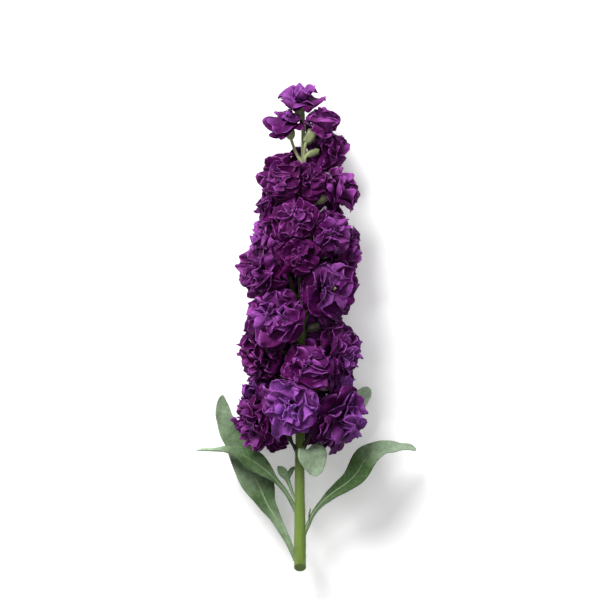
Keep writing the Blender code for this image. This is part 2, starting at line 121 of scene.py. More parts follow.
# How a bloom stands on its stalk, and the space that it keeps to
LEAST_CROSS = 0.2  # a bloom that faces nearer to straight up finds its side from +X
NECK_SETBACK = 0.45  # the calyx mouth is this share of the radius behind the bloom's middle
DROOP_ROOM = 6.0 * MM  # how far petals may droop behind the calyx mouth
STEM_CLEARANCE = 11.0 * MM  # how far petals keep from the stem's axis
LEAST_CLEARANCE = 2.7 * MM  # and how far where the calyx itself is nearer
DROOP_LIMIT = 3.2 * MM  # a bloom that reaches less past its clearance needs no wall there
NEIGHBOUR_RANGE = 12 * MM  # blooms with a wider gap have no wall between them
PRESS_POWER = 8  # how abruptly petals stop at a wall
FULLNESS = 1.25  # how far petals spread from the bloom's middle, as a share of its radius
SURFACE_GAP = 0.2 * MM  # between the lowest petals and what the stem lies on

# Whorls of petals from the outermost in. Lengths, widths and roots are shares of the bloom's
# radius, and the leans from the bloom's axis at root and rim are in degrees
Whorl = namedtuple("Whorl", "petals root lift root_lean rim_lean length half_width wave fine")
WHORLS = (
    Whorl(5, 0.14, 0.02, 84, 150, 1.10, 0.60, 0.12, True),
    Whorl(6, 0.12, 0.10, 60, 120, 1.22, 0.60, 0.15, True),
    Whorl(6, 0.10, 0.20, 44, 104, 1.16, 0.52, 0.17, True),
    Whorl(7, 0.09, 0.26, 28, 90, 1.08, 0.42, 0.18, False),
    Whorl(6, 0.07, 0.30, 10, 74, 0.96, 0.38, 0.18, False),
    Whorl(6, 0.06, 0.32, -6, 56, 0.82, 0.34, 0.17, False),
    Whorl(4, 0.05, 0.34, -18, 40, 0.68, 0.28, 0.15, False),
)
YOUNG_WHORLS = (
    Whorl(5, 0.10, -0.06, 52, 124, 1.14, 0.46, 0.10, True),
    Whorl(4, 0.08, -0.02, 36, 102, 1.06, 0.46, 0.12, True),
    Whorl(4, 0.06, 0.02, 14, 80, 0.92, 0.38, 0.13, True),
    Whorl(3, 0.05, 0.06, -4, 56, 0.70, 0.30, 0.12, False),
)
HEART = Whorl(4, 0.03, 0.42, -12, 34, 0.46, 0.17, 0.08, False)
YOUNG = (41, 42)  # blooms at the tip that have opened only a few petals
YOUNG_CRUMPLE = 0.3  # how much they are crumpled
YOUNG_CALM = 0.6  # and how much their petals curl, cup and fold, as shares of the others'
YOUNG_TURN = 0.25  # leaves their calyces bare between two broad petals
YOUNG_CLAW = 1.2  # how much wider their petals' claws are
# No petal bends round the bloom's axis more tightly than at this share of the bloom's radius
CLAW_REACH = 0.5
YOUNG_CLAW_REACH = 0.28
TIP_BLOOMS = (40, 41, 42)  # these have long stalks and stout calyces
TIP_RISE = 22 * MM
TIP_GIRTH = 1.25
# Blooms that face another way than their pitch gives, or whose neck is nearer to their middle
FACINGS = {
    5: (-0.16, -0.22, 0.95),
    17: (-0.35, 0.15, 0.90),
    21: (0.32, 0.08, 0.93),
    35: (0.80, 0.48, -0.20),
    39: (0.75, 0.35, -0.55),
    40: (0.45, 0.75, -0.30),
    41: (-0.15, 0.86, 0.48),
    42: (0.05, 0.86, 0.48),
}
SETBACKS = {40: 0.42, 41: 0.26, 42: 0.12}
# Blooms that sit a little to one side of their solid's middle, in millimetres
NUDGES = {
    3: (1.6, 0, 0),
    4: (-0.6, -0.4, 0),
    7: (1.8, 0, 0),
    13: (-0.6, -0.8, 0),
    16: (-3.0, -1.6, 0),
    17: (-0.9, 0, 0),
    21: (-2.2, 0, 0),
    24: (0.9, 0.2, 0),
    27: (-1.2, -0.4, 0),
    29: (-0.6, -0.6, 0),
    35: (-1.2, 0.5, 0),
    37: (0.3, -2.6, 0),
    39: (-1.9, 0.6, 0),
    40: (-1.2, -0.8, 0),
    41: (1.5, 2.0, 0),
    42: (-1.2, -1.3, 0),
}
# Blooms whose petals stay shorter or grow longer than the others'
SIZES = {7: 0.93, 8: 0.85, 12: 0.95, 13: 0.90, 16: 0.86, 17: 1.08, 19: 0.88, 21: 1.05}
SIZES |= {27: 0.94, 28: 0.92, 33: 0.90, 34: 0.90, 35: 0.90, 36: 0.88, 39: 0.82, 40: 0.94}
SIZES |= {42: 0.95}
BLOOM_SEED = 100  # a bloom's petals are drawn from this plus its number
# Blooms whose petals are drawn from another seed
SEEDS = {4: 6004, 5: 6005, 7: 2007, 8: 1008, 11: 6011, 12: 4012, 13: 1013, 16: 5016, 17: 6017}
SEEDS |= {21: 3021, 24: 8024, 25: 6025, 27: 3027, 28: 1028, 29: 5029, 31: 1031, 35: 2035}
SEEDS |= {36: 4036, 37: 1037, 39: 4039, 40: 4040, 41: 6041, 42: 7042}
HEARTED = (4, 5, 21)  # blooms that are open down to the pale petals of their heart
# How violet a bloom is, from 0 for magenta, and how pale its inner petals are
HUES = {1: 0.2, 2: 0.2, 3: 0.15, 4: 0.9, 5: 1.0, 7: 1.0, 8: 1.0, 11: 0.4, 12: 0.0, 16: 1.2}
HUES |= {21: 0.4, 24: 0.1, 25: 0.0, 27: 0.4, 29: 0.3, 31: 0.0, 35: 0.1, 36: 0.0, 37: 0.0}
HUES |= {42: 0.6}
OTHER_HUES = (0.1, 0.6)  # what the blooms not listed get lies between these
PALES = {3: 0.35, 4: 0.8, 5: 1.1, 13: 0.5, 17: 0.5, 21: 0.8, 24: 0.6, 31: 0.45, 37: 0.6}
PALES |= {42: 0.7}
OTHER_PALES = (0.1, 0.35)
# How much more, or less, of a bloom shows the painted highlight of its petals' crests: painted
# light on blooms that stand in the light, painted shade on those that lie in shade among the
# others
BLOOM_HIGHLIGHT_SHIFTS = {1: -0.35, 3: -0.04, 4: 0.12, 5: 0.28, 7: 0.16, 8: 0.42, 11: 0.06, 12: -0.04}
BLOOM_HIGHLIGHT_SHIFTS |= {13: -0.02, 16: 0.44, 17: 0.11, 21: -0.22, 25: -0.50, 27: 0.12, 28: 0.40, 29: 0.12}
BLOOM_HIGHLIGHT_SHIFTS |= {31: -0.03, 33: -0.05, 35: 0.16, 36: -0.46, 37: -0.18, 39: 0.12, 40: 0.38, 41: 0.04}
BLOOM_HIGHLIGHT_SHIFTS |= {42: 0.26}
# Shares of a bloom's tone and paleness that its petals have: the outermost ones, how much more
# the innermost ones have, and how much is left to chance
OUTER_TONE = 0.2
INWARD_TONE = 0.7
CHANCE_TONE = 0.3
OUTER_PALE = 0.15
MOST_PALE = 0.7
PALE_SHARES = (0.1, 1.0)
# How far a petal shows its crest colour, a painted highlight: a flat one in the middle whorl,
# how much more on the ridges of its ruffles, how much more inwards, as painted light on the
# inner petals and painted shade on the outer ones, and how much more again in a pale bloom
MIDDLE_HIGHLIGHT = 0.49
RIDGE_HIGHLIGHT = 0.3
INWARD_HIGHLIGHT = 0.2
PALE_HIGHLIGHT = 0.3

# How a bloom's petals are crumpled: wavelength and size of the waves, and how many of each
WARPS = ((9.0 * MM, 1.1 * MM), (4.2 * MM, 0.25 * MM))
WARP_WAVES = 3
# The same waves sway the whole head of blooms, so that no seam between blooms is straight
SWAYS = ((19 * MM, 1.0 * MM), (11 * MM, 0.6 * MM))
SWAY_WAVES = 2
SWAY_SEED = 11
SWAY_START = 3 * MM  # how far from a bloom's neck the sway sets in
SWAY_FULL = 9 * MM  # and how far out it is all there

# The blank that petals are bent from
PETAL_THICKNESS = 0.28 * MM
WALL_MARGIN = 0.1 * MM  # petals stay this much further off a wall than half their thickness
FINE_MESH = (16, 8)  # columns and rows of a broad petal
SMALL_MESH = (10, 6)  # and of a small inner one
ROW_CROWDING = 1.25  # rows lie closer together towards the rim as this grows past 1
CLAW_ROWS = 0.45  # the share of the rows that makes the claw
CLAW_WIDTH = 0.14  # the claw's width at its root, as a share of the limb's
LIMB_MIDDLE = 0.56  # of a petal's length, where its round limb has its middle
BLUNTNESS = 2.2  # a limb's outline is a circle at 2, and nears a square as this grows

# How a petal's growth follows the room that the walls leave it
FORWARD_LOOK = 0.2  # it looks for room a little towards the way that the bloom faces
LEAST_HEADING = 0.3  # the cosine to a wall's normal from which that wall counts
FREE_ROOM = 1.5  # with more room than this, in bloom radii, it is free
FREE_GROWTH = 0.94
MOST_GROWTH = 1.28

# What is drawn anew for each petal, between the lowest and the highest value. Lengths, widths,
# cups and folds are shares, leans and rim curls are in degrees, and the rest is in radians
PETAL_LENGTHS = (0.88, 1.04)
PETAL_WIDTHS = (0.85, 1.12)
LEAN_SHIFTS = (-16, 16)
RIM_CURLS = (-60, 85)
NICK_PHASES = (0, 6)
RUFFLE_SIZES = (0.7, 1.25)
RUFFLE_WAVES = (2.4, 3.6)
RUFFLE_PHASES = (0, 6.3)
CREASES = (-0.9, 0.9)
CUPS = (0.08, 0.28)
FOLDS = (-0.35, 0.40)
TWISTS = (-0.3, 0.3)
# And what all petals share
PROFILE_STEPS = 41
CURL_START = 0.6  # of a petal's length, where the rim's curl sets in
NICK_SIZE = 0.03  # shallow nicks in the rim
NICK_WAVES = 6.5
FRILL_SIZE = 0.34  # finer waves on the ruffles
FRILL_WAVES = 4.2
FINE_FRILL_WAVES = 5.4  # on petals with a finer mesh
FRILL_SLANT = 1.5
RUFFLE_RISE = 1.7  # how steeply ruffles grow towards the rim
PLACE_SHIFTS = (-0.16, 0.16)  # how far a petal is off its place in the whorl, in petals
WHORL_TURN = 1.1  # how far each whorl is turned from the one before, in half petals

# Stem, flower stalks and calyces
STEM_SIDES = 32
STEM_RINGS = 90
STEM_START = 4 * MM  # how far below the cut the stem is drawn from before it is cut
STEM_SWELLS = ((0.02, 0.9, 0), (0.015, 0.37, 1))  # size, rate along the stem and phase
SHARP_ANGLE = math.radians(40)  # edges sharper than this, such as the cut's, stay sharp
BARK_WIDTH = 0.5 * MM  # the rings that the cut shows round its sunken pith
PITH_SLOPE_WIDTH = 0.9 * MM
PITH_DEPTH = 0.25 * MM
STALK_RADIUS = 0.8 * MM
STALK_RISE = 14 * MM
LEAST_RISE = 6 * MM
STALK_SLOPE = 0.9
STALK_SAG = 0.12
COLLAR_REACH = 1.5 * MM  # how far a stalk reaches into its calyx
# How thick a stalk is where it leaves the stem, half way, at the calyx and inside it
STALK_GIRTHS = (1.5, 1.0, 1.1, 1.5)
CALYX_LENGTH = 8.5 * MM
CALYX_SIDES = 12
CALYX_FOOT = 1.0  # radius where a calyx begins, then radius and height up to its mouth
CALYX_PROFILE = ((1.5, 0.9), (1.95, 2.4), (2.1, 4.2), (1.95, 6.2), (2.15, 8.4))
CALYX_WALL = 0.3 * MM
CALYX_GIRTHS = (0.9, 1.12)
CALYX_SEED = 500
SEPALS = 4
SEPAL_RELIEF = 0.5 * MM
SEAM_LEVEL = 0.3  # seams between the sepals are sunk below this share of a lobe
LOBE_LEVEL = 0.55  # and the rim is cut down below this one
LOBE_START = 0.45  # of the calyx's length
LOBE_RISE = 2.2  # in millimetres
# Calyces low in the head of blooms are darker, partly as painted shade; near the tip they are
# pale
SHADED_CALYX_END = 205 * MM  # below this distance from the cut end the calyces are dark
PALE_START = 225 * MM  # and above this one they are pale
HAIR_LENGTH = 0.55 * MM
HAIR_LENGTHS = (0.5, 1.2)
HAIR_RADIUS = 0.035 * MM
HAIR_LEAN = 0.35
HAIR_SEED = 7
STEM_HAIRS = 9000
CALYX_HAIRS = 5000

# Leaves as stations along the midrib: x and distance from the cut end, height over the stem's
# axis and full width, in millimetres, then the roll of the blade about its midrib in degrees
Station = namedtuple("Station", "across along height width roll")
LEAVES = {
    "leaf_lower_left": (
        Station(-2.4, 7.0, -0.1, 2.6, 0),
        Station(-4.7, 12.4, -0.2, 3.0, 0),
        Station(-7.7, 19.2, -1, 4.0, 0),
        Station(-14.2, 31.1, -4, 6.5, 4),
        Station(-19.1, 38.9, -5, 10.4, 8),
        Station(-22.9, 47.3, -6.5, 16.8, 10),
        Station(-26.9, 55.1, -8, 19.4, 10),
        Station(-32.6, 65.0, -9, 16.0, 6),
        Station(-37.0, 74.3, -10, 13.2, 0),
        Station(-41.4, 82.0, -10, 11.6, -8),
        Station(-43.8, 89.5, -9, 10.2, -12),
        Station(-45.2, 97.0, -7.5, 7.0, -12),
        Station(-45.2, 102.4, -6, 5.0, -8),
    ),
    "leaf_upper_left": (
        Station(-1.9, 33.4, 0.6, 2.0, 0),
        Station(-4.3, 39.8, 1.1, 2.4, 0),
        Station(-8.9, 47.4, 2.5, 2.6, 0),
        Station(-15.0, 54.6, 4, 4.0, 6),
        Station(-21.0, 60.2, 4, 9.4, 12),
        Station(-27.4, 64.6, 3.5, 12.4, 20),
        Station(-33.6, 68.0, 3, 11.6, 40),
        Station(-39.6, 69.8, 3, 10.0, 66),
        Station(-46.5, 70.3, 2, 9.0, 80),
        Station(-53.0, 70.4, 0, 7.0, 84),
        Station(-60.0, 70.4, -3, 5.0, 84),
    ),
    "leaf_right": (
        Station(2.3, 21.0, 0.2, 2.0, 0),
        Station(4.5, 27.2, 0.6, 2.4, 0),
        Station(7.6, 33.7, 1.5, 2.6, 0),
        Station(12.0, 39.6, 3, 3.6, -4),
        Station(18.6, 46.0, 5, 6.4, -8),
        Station(27.0, 52.2, 7, 9.6, -10),
        Station(32.8, 58.0, 8, 13.0, -12),
        Station(36.8, 64.6, 8, 13.8, -18),
        Station(41.4, 69.0, 6.5, 13.2, -32),
        Station(47.6, 71.4, 3.5, 11.0, -48),
        Station(55.0, 72.0, -1, 9.0, -56),
        Station(62.0, 71.6, -7, 6.2, -56),
        Station(67.8, 70.4, -12, 5.2, -50),
    ),
    "leaf_front": (
        Station(1.0, 62.6, 1.6, 2.0, 0),
        Station(2.2, 65.2, 5.2, 2.4, 0),
        Station(3.6, 68.0, 8.8, 3.2, 0),
        Station(4.9, 70.6, 12.0, 6.0, 0),
        Station(5.9, 72.0, 14.8, 11.5, 0),
        Station(6.5, 70.8, 16.8, 16.0, 0),
        Station(7.0, 68.0, 17.2, 16.8, 0),
        Station(7.8, 64.4, 16.6, 13.8, 0),
        Station(8.6, 60.6, 15.8, 9.6, 0),
        Station(9.2, 56.8, 15.2, 5.0, 0),
    ),
    "leaf_behind": (
        Station(1.4, 61.2, -0.7, 2.0, 0),
        Station(4.1, 66.2, -1.1, 2.4, 0),
        Station(9.0, 71.5, -2, 3.0, 6),
        Station(15.0, 78.0, -3, 3.6, 12),
        Station(22.5, 86.0, -5, 5.6, 16),
        Station(29.0, 93.2, -8, 8.6, 16),
        Station(34.4, 99.4, -11, 10.2, 12),
        Station(38.0, 103.0, -12.5, 8.4, 8),
        Station(40.9, 106.0, -13.5, 6.4, 0),
    ),
    "axil_shoot": (
        Station(-2.0, 40.4, 0.4, 1.2, 0),
        Station(-3.9, 44.6, 0.7, 1.3, 0),
        Station(-5.3, 48.5, 1.2, 1.8, 0),
        Station(-7.4, 54.0, 1.2, 3.0, 0),
        Station(-10.2, 58.6, 2.0, 5.2, 0),
        Station(-12.9, 61.6, 2.4, 2.0, 0),
    ),
    "shoot_leaflet": (
        Station(-7.2, 52.8, 1.0, 1.4, 0),
        Station(-6.2, 57.0, -1.6, 3.4, 30),
        Station(-4.2, 59.8, -4.2, 3.4, 50),
        Station(-1.2, 59.8, -6.0, 1.2, 50),
    ),
    "axil_scale": (
        Station(5.6, 28.4, 0.6, 1.3, 60),
        Station(5.2, 33.4, 2.4, 1.3, 60),
        Station(6.2, 37.4, 3.2, 0.6, 60),
    ),
}
# How pale each leaf is at these shares of its length: 0 is deep green and 1 is pale felt. This
# is partly the felt's own paleness and partly painted light: paler where a leaf lies in the
# shade of the blooms or of the leaf above, and at the tips where the light grazes the felt
LEAF_PALENESS_AND_LIGHT = {
    "leaf_lower_left": ((0.2, 0.55), (0.38, 0.06), (0.55, 0.6), (0.75, 0.32), (0.9, 0.75)),
    "leaf_upper_left": ((0.2, 0.3), (0.45, 0.12), (0.6, 0.05), (0.75, 0.32), (0.9, 1.3)),
    "leaf_right": ((0.2, 0.4), (0.3, 0.1), (0.57, 0.0), (0.7, 0.65), (0.9, 1.0), (1.0, 1.1)),
    "leaf_front": ((0.0, 0.8), (0.7, 0.9), (1.0, 1.2)),
    "leaf_behind": ((0.0, 0.4), (0.8, 1.4)),
    "axil_shoot": ((0.0, 0.30), (1.0, 0.35)),
    "shoot_leaflet": ((0.0, 0.30), (1.0, 0.35)),
    "axil_scale": ((0.0, 0.40), (1.0, 0.50)),
}
ARCHED_OVER = (0, 0.7, 0.7)  # which way is up for the leaf that arches back over its own stalk
BLADE_COLUMNS = 14
COLUMN_CROWDING = 1.3  # columns lie closer together towards the midrib as this grows past 1
ROWS_PER_STATION = 6
LEAST_WIDTH = 0.5  # of a blade, in millimetres
TIP_START = 0.93  # of a leaf's length, where its tip is rounded off over the length below
TIP_LENGTH = 0.072
LEAST_TIP = 0.01
ARCH = 0.16  # a blade's edges stand this share of its width over its midrib
ARCH_CURVE = 1.2
# Waves along a blade: their height, and the length over which they turn by a radian
SWELLS = (0.9 * MM, 3.1 * MM)
RIPPLES = (0.5 * MM, 1.7 * MM)
FULL_WAVE_WIDTH = 8 * MM  # a blade has all of its waves from this width
FULL_WAVE_LENGTH = 60 * MM  # and this length on
BLADE_THICKNESS = 0.45 * MM
RIB_AT_ROOT = 2.3 * MM
SHORT_LEAF = 30 * MM
RIB_IF_SHORT = 1.2 * MM
RIB_AT_TIP = 0.7 * MM
RIB_WIDTH = 0.9 * MM
RIB_TAPER = 0.6
# The millimetres that 1 stands for in the values that the leaf paint reads
SHADE_WIDTH = 20
SHADE_LENGTH = 100

# Floor, light and camera
FLOOR_SIZE = 4
FLOOR_GREY = 0.90
FLOOR_GLOW = 0.25
SKY_LIGHT = 0.14  # how bright the pale room is as a light
SKY_SEEN = 0.90  # and how bright it looks past the edge of the floor
Lamp = namedtuple("Lamp", "name place size power")
LAMPS = (
    Lamp("key", (-0.55, 0.95, 1.08), 0.70, 34.0),
    Lamp("overhead", (0.10, 0.10, 1.60), 1.20, 8.5),
)
LAMP_TARGET = (0, 0, 0.03)
LENS = 135
VIEW_WIDTH = 348 * MM  # what the camera sees at the height of the stem's axis
VIEW_MIDDLE_Y = 14.6 * MM

Blank = namedtuple("Blank", "across along turn spread faces")
Style = namedtuple("Style", "tone pale glow")


class Seat:
    """Where one bloom sits: its middle, the way it faces, and its calyx mouth."""

    def __init__(self, number):
        bloom = BLOOMS[number - 1]
        self.radius = bloom.radius * MM
        self.reach = bloom.reach * MM
        self.along = bloom.along * MM
        around = math.radians(bloom.around)
        self.out = Vector((math.sin(around), 0, math.cos(around)))
        self.axis_point = stem_at(self.along)
        self.middle = self.axis_point + self.out * self.reach
        self.middle += Vector(NUDGES.get(number, (0, 0, 0))) * MM
        pitch = math.radians(bloom.pitch)
        self.facing = self.out * math.cos(pitch) + Vector((0, 1, 0)) * math.sin(pitch)
        self.facing = Vector(FACINGS.get(number, self.facing)).normalized()
        self.young = number in YOUNG
        self.at_tip = number in TIP_BLOOMS
        self.setback = SETBACKS.get(number, NECK_SETBACK) * self.radius
        self.neck = self.middle - self.facing * self.setback
        self.side = self.facing.cross(Vector((0, 0, 1)))
        if self.side.length < LEAST_CROSS:
            self.side = self.facing.cross(Vector((1, 0, 0)))
        self.side.normalize()
        self.up = self.side.cross(self.facing)


def stem_at(along):
    """The stem's middle this far from its cut end, or past its tip in line with it."""
    drift = STEM_LINE[-1][1]
    for (a, drift_a, _), (b, drift_b, _) in zip(STEM_LINE, STEM_LINE[1:]):
        if a <= along / MM < b:
            drift = drift_a + (drift_b - drift_a) * (along / MM - a) / (b - a)
    return Vector((STEM_X + drift * MM, CUT_END_Y + along, AXIS_HEIGHT))


def walls_of(seat, seats):
    """The planes that a bloom stays behind, as (normal, distance from the bloom's middle)."""
    walls = []
    for other in seats:
        apart = other.middle - seat.middle
        if other is seat or apart.length > seat.radius + other.radius + NEIGHBOUR_RANGE:
            continue
        share = (apart.length_squared + seat.radius**2 - other.radius**2) / (2 * apart.length)
        walls.append((apart.normalized(), share))
    walls.append((Vector((0, 0, -1)), seat.middle.z - SURFACE_GAP))
    walls.append((-seat.facing, seat.setback + DROOP_ROOM))
    neck_reach = (seat.neck - seat.axis_point).dot(seat.out)
    clearance = max(LEAST_CLEARANCE, min(STEM_CLEARANCE, neck_reach - DROOP_ROOM))
    if seat.reach > clearance + DROOP_LIMIT:
        walls.append((-seat.out, seat.reach - clearance))
    return walls


def pressed(points, seat, walls, margin):
    """Draws points smoothly towards the bloom's middle, until they are behind every wall."""
    middle = np.array(seat.middle)
    arms = points - middle
    crowding = (np.linalg.norm(arms, axis=1) / (FULLNESS * seat.radius)) ** PRESS_POWER
    for normal, distance in walls:
        share = arms @ np.array(normal) / (distance - margin)
        crowding += np.clip(share, 0, None) ** PRESS_POWER
    return middle + arms / ((1 + crowding) ** (1 / PRESS_POWER))[:, None]


def petal_blank(columns, rows):
    """The flat outline, modelled once, that petals are bent from.

    Gives each point's place across and along, from a narrow claw to a round limb, its angle
    and distance from the limb's middle, and the faces.
    """
    bpy.ops.object.select_all(action="DESELECT")
    bpy.ops.mesh.primitive_grid_add(x_subdivisions=columns, y_subdivisions=rows, size=2)
    sheet = bpy.context.object
    places = np.array([vertex.co[:] for vertex in sheet.data.vertices])
    faces = np.array([face.vertices[:] for face in sheet.data.polygons])
    bpy.data.objects.remove(sheet)
    column = places[:, 0]
    row = 1 - (1 - (places[:, 1] + 1) / 2) ** ROW_CROWDING
    above = np.clip(row - CLAW_ROWS, 0, 1) / (1 - CLAW_ROWS)
    below = np.clip(row / CLAW_ROWS, 0, 1)
    width = CLAW_WIDTH + (1 - CLAW_WIDTH) * (below * below * (3 - 2 * below))
    across = column * np.sqrt(1 - above**2 / BLUNTNESS) * width
    along = LIMB_MIDDLE * below
    along = along + (1 - LIMB_MIDDLE) * above * np.sqrt(1 - column**2 / BLUNTNESS)
    rim_way = (along - LIMB_MIDDLE) / (1 - LIMB_MIDDLE)
    turn = np.arctan2(across, rim_way)
    spread = np.sqrt(across**2 + np.clip(rim_way, 0, 1) ** 2)
    return Blank(across, along, turn, spread, faces)


def growth_towards(seat, walls, angle):
    """How much longer a petal grows that way: more into corners, less where it is free."""
    spoke = seat.side * math.cos(angle) + seat.up * math.sin(angle)
    spoke = (spoke + seat.facing * FORWARD_LOOK).normalized()
    headings = [(room, spoke.dot(normal)) for normal, room in walls]
    rooms = [room / heading for room, heading in headings if heading > LEAST_HEADING]
    room = min(rooms, default=2 * seat.radius) / seat.radius
    return FREE_GROWTH if room > FREE_ROOM else min(max(room, 1.0), MOST_GROWTH)


def draw_petal(seat, whorl, angle, growth, blank, rng):
    """One petal bent from the blank: an opening claw, a broad limb and a ruffled rim."""
    radius = seat.radius
    length = whorl.length * radius * growth * rng.uniform(*PETAL_LENGTHS)
    half_width = whorl.half_width * radius * rng.uniform(*PETAL_WIDTHS)
    lean_shift = rng.uniform(*LEAN_SHIFTS)
    calm = YOUNG_CALM if seat.young else 1
    rim_curl = calm * rng.uniform(*RIM_CURLS)

    # The petal's middle line: how it leans, how far out that takes it and how far forward
    steps = np.linspace(0, 1, PROFILE_STEPS)
    lean = whorl.root_lean + lean_shift + (whorl.rim_lean - whorl.root_lean) * steps
    curl = np.clip((steps - CURL_START) / (1 - CURL_START), 0, 1) ** 2
    lean = np.radians(lean + rim_curl * curl)
    step = length / (len(steps) - 1)
    radial = whorl.root * radius + np.concatenate(([0], np.cumsum(np.sin(lean[1:]) * step)))
    height = whorl.lift * radius + np.concatenate(([0], np.cumsum(np.cos(lean[1:]) * step)))

    # The outline, laid along that line
    nicks = NICK_SIZE * blank.spread**3
    nicks = 1 + nicks * np.sin(NICK_WAVES * blank.turn + rng.uniform(*NICK_PHASES))
    reached = np.clip(blank.along * nicks, 0, 1)
    lean_here = np.interp(reached, steps, lean)
    radial_here = np.interp(reached, steps, radial)
    height_here = np.interp(reached, steps, height)
    sideways = half_width * blank.across * nicks
    if seat.young:
        sideways = sideways * (1 + YOUNG_CLAW * np.clip(1 - reached / LIMB_MIDDLE, 0, 1))

    # Ruffles, cup and fold, which lift it off its own face
    size = rng.uniform(*RUFFLE_SIZES)
    waves = rng.uniform(*RUFFLE_WAVES)
    ruffle = size * np.sin(waves * blank.turn + rng.uniform(*RUFFLE_PHASES))
    frill = (FINE_FRILL_WAVES if whorl.fine else FRILL_WAVES) * blank.turn
    frill = frill + rng.uniform(*RUFFLE_PHASES) + FRILL_SLANT * blank.spread
    ruffle += FRILL_SIZE * np.sin(frill)
    swell = blank.spread**RUFFLE_RISE
    crease = rng.uniform(*CREASES)
    past_middle = (reached - LIMB_MIDDLE) * length
    fold = np.abs(sideways * math.cos(crease) + past_middle * math.sin(crease))
    lift = whorl.wave * radius * ruffle * swell
    lift += calm * rng.uniform(*CUPS) * sideways
    lift += calm * rng.uniform(*FOLDS) * fold * blank.along

    around = angle + rng.uniform(*TWISTS) * reached
    claw_reach = YOUNG_CLAW_REACH if seat.young else CLAW_REACH
    around = around + sideways / np.maximum(radial_here, claw_reach * radius)
    radial_here = radial_here - np.cos(lean_here) * lift
    height_here = height_here + np.sin(lean_here) * lift
    spoke = np.cos(around)[:, None] * np.array(seat.side)
    spoke += np.sin(around)[:, None] * np.array(seat.up)
    points = np.array(seat.neck) + spoke * radial_here[:, None]
    points += height_here[:, None] * np.array(seat.facing)
    return points, ruffle * swell


def crumpled(points, rng, strength):
    """Bends the space that a bloom's petals share, so that they crumple without crossing."""
    for wavelength, size in WARPS:
        for _ in range(WARP_WAVES):
            way = np.array([rng.gauss(0, 1) for _ in range(3)])
            push = np.array([rng.gauss(0, 1) for _ in range(3)])
            way *= math.tau / wavelength / np.linalg.norm(way)
            push *= strength * size / np.linalg.norm(push)
            points = points + np.sin(points @ way + rng.uniform(0, math.tau))[:, None] * push
    return points


def swayed(points, seat):
    """Moves petals sideways by waves that all blooms share, but leaves them on their calyx."""
    rng = random.Random(SWAY_SEED)
    off_neck = np.linalg.norm(points - np.array(seat.neck), axis=1)
    share = np.clip((off_neck - SWAY_START) / (SWAY_FULL - SWAY_START), 0, 1)
    moved = np.zeros_like(points)
    for wavelength, size in SWAYS:
        for _ in range(SWAY_WAVES):
            way = np.array([rng.gauss(0, 1) for _ in range(3)])
            way *= math.tau / wavelength / np.linalg.norm(way)
            heading = rng.uniform(0, math.tau)
            push = size * np.array((math.cos(heading), math.sin(heading), 0))
            moved += np.sin(points @ way + rng.uniform(0, math.tau))[:, None] * push
    return points + moved * share[:, None]


def petal_look(style, whorl, inward, ridge, spread, rng):
    """What the petal paint reads: tone, paleness, how much painted highlight it shows, and
    nearness to the rim.
    """
    look = np.empty((len(ridge), 4))
    look[:, 0] = style.tone * (OUTER_TONE + INWARD_TONE * inward)
    look[:, 0] += CHANCE_TONE * rng.uniform(0, 1)
    look[:, 1] = MOST_PALE * style.pale * rng.uniform(*PALE_SHARES)
    look[:, 1] *= OUTER_PALE + (1 - OUTER_PALE) * inward
    if whorl is HEART:
        look[:, 1] = 1
    # Painted highlight on the ruffles' ridges, painted light on the inner petals and painted
    # shade on the outer ones, and per bloom painted light or shade
    look[:, 2] = MIDDLE_HIGHLIGHT + style.glow + RIDGE_HIGHLIGHT * ridge
    look[:, 2] += (INWARD_HIGHLIGHT + PALE_HIGHLIGHT * style.pale) * (inward - 0.5)
    look[:, 3] = spread
    return look


def set_shade(mesh, looks):
    """Keeps on each point the four values that the paints read."""
    shade = mesh.attributes.new("shade", "FLOAT_COLOR", "POINT")
    shade.data.foreach_set("color", looks.ravel())


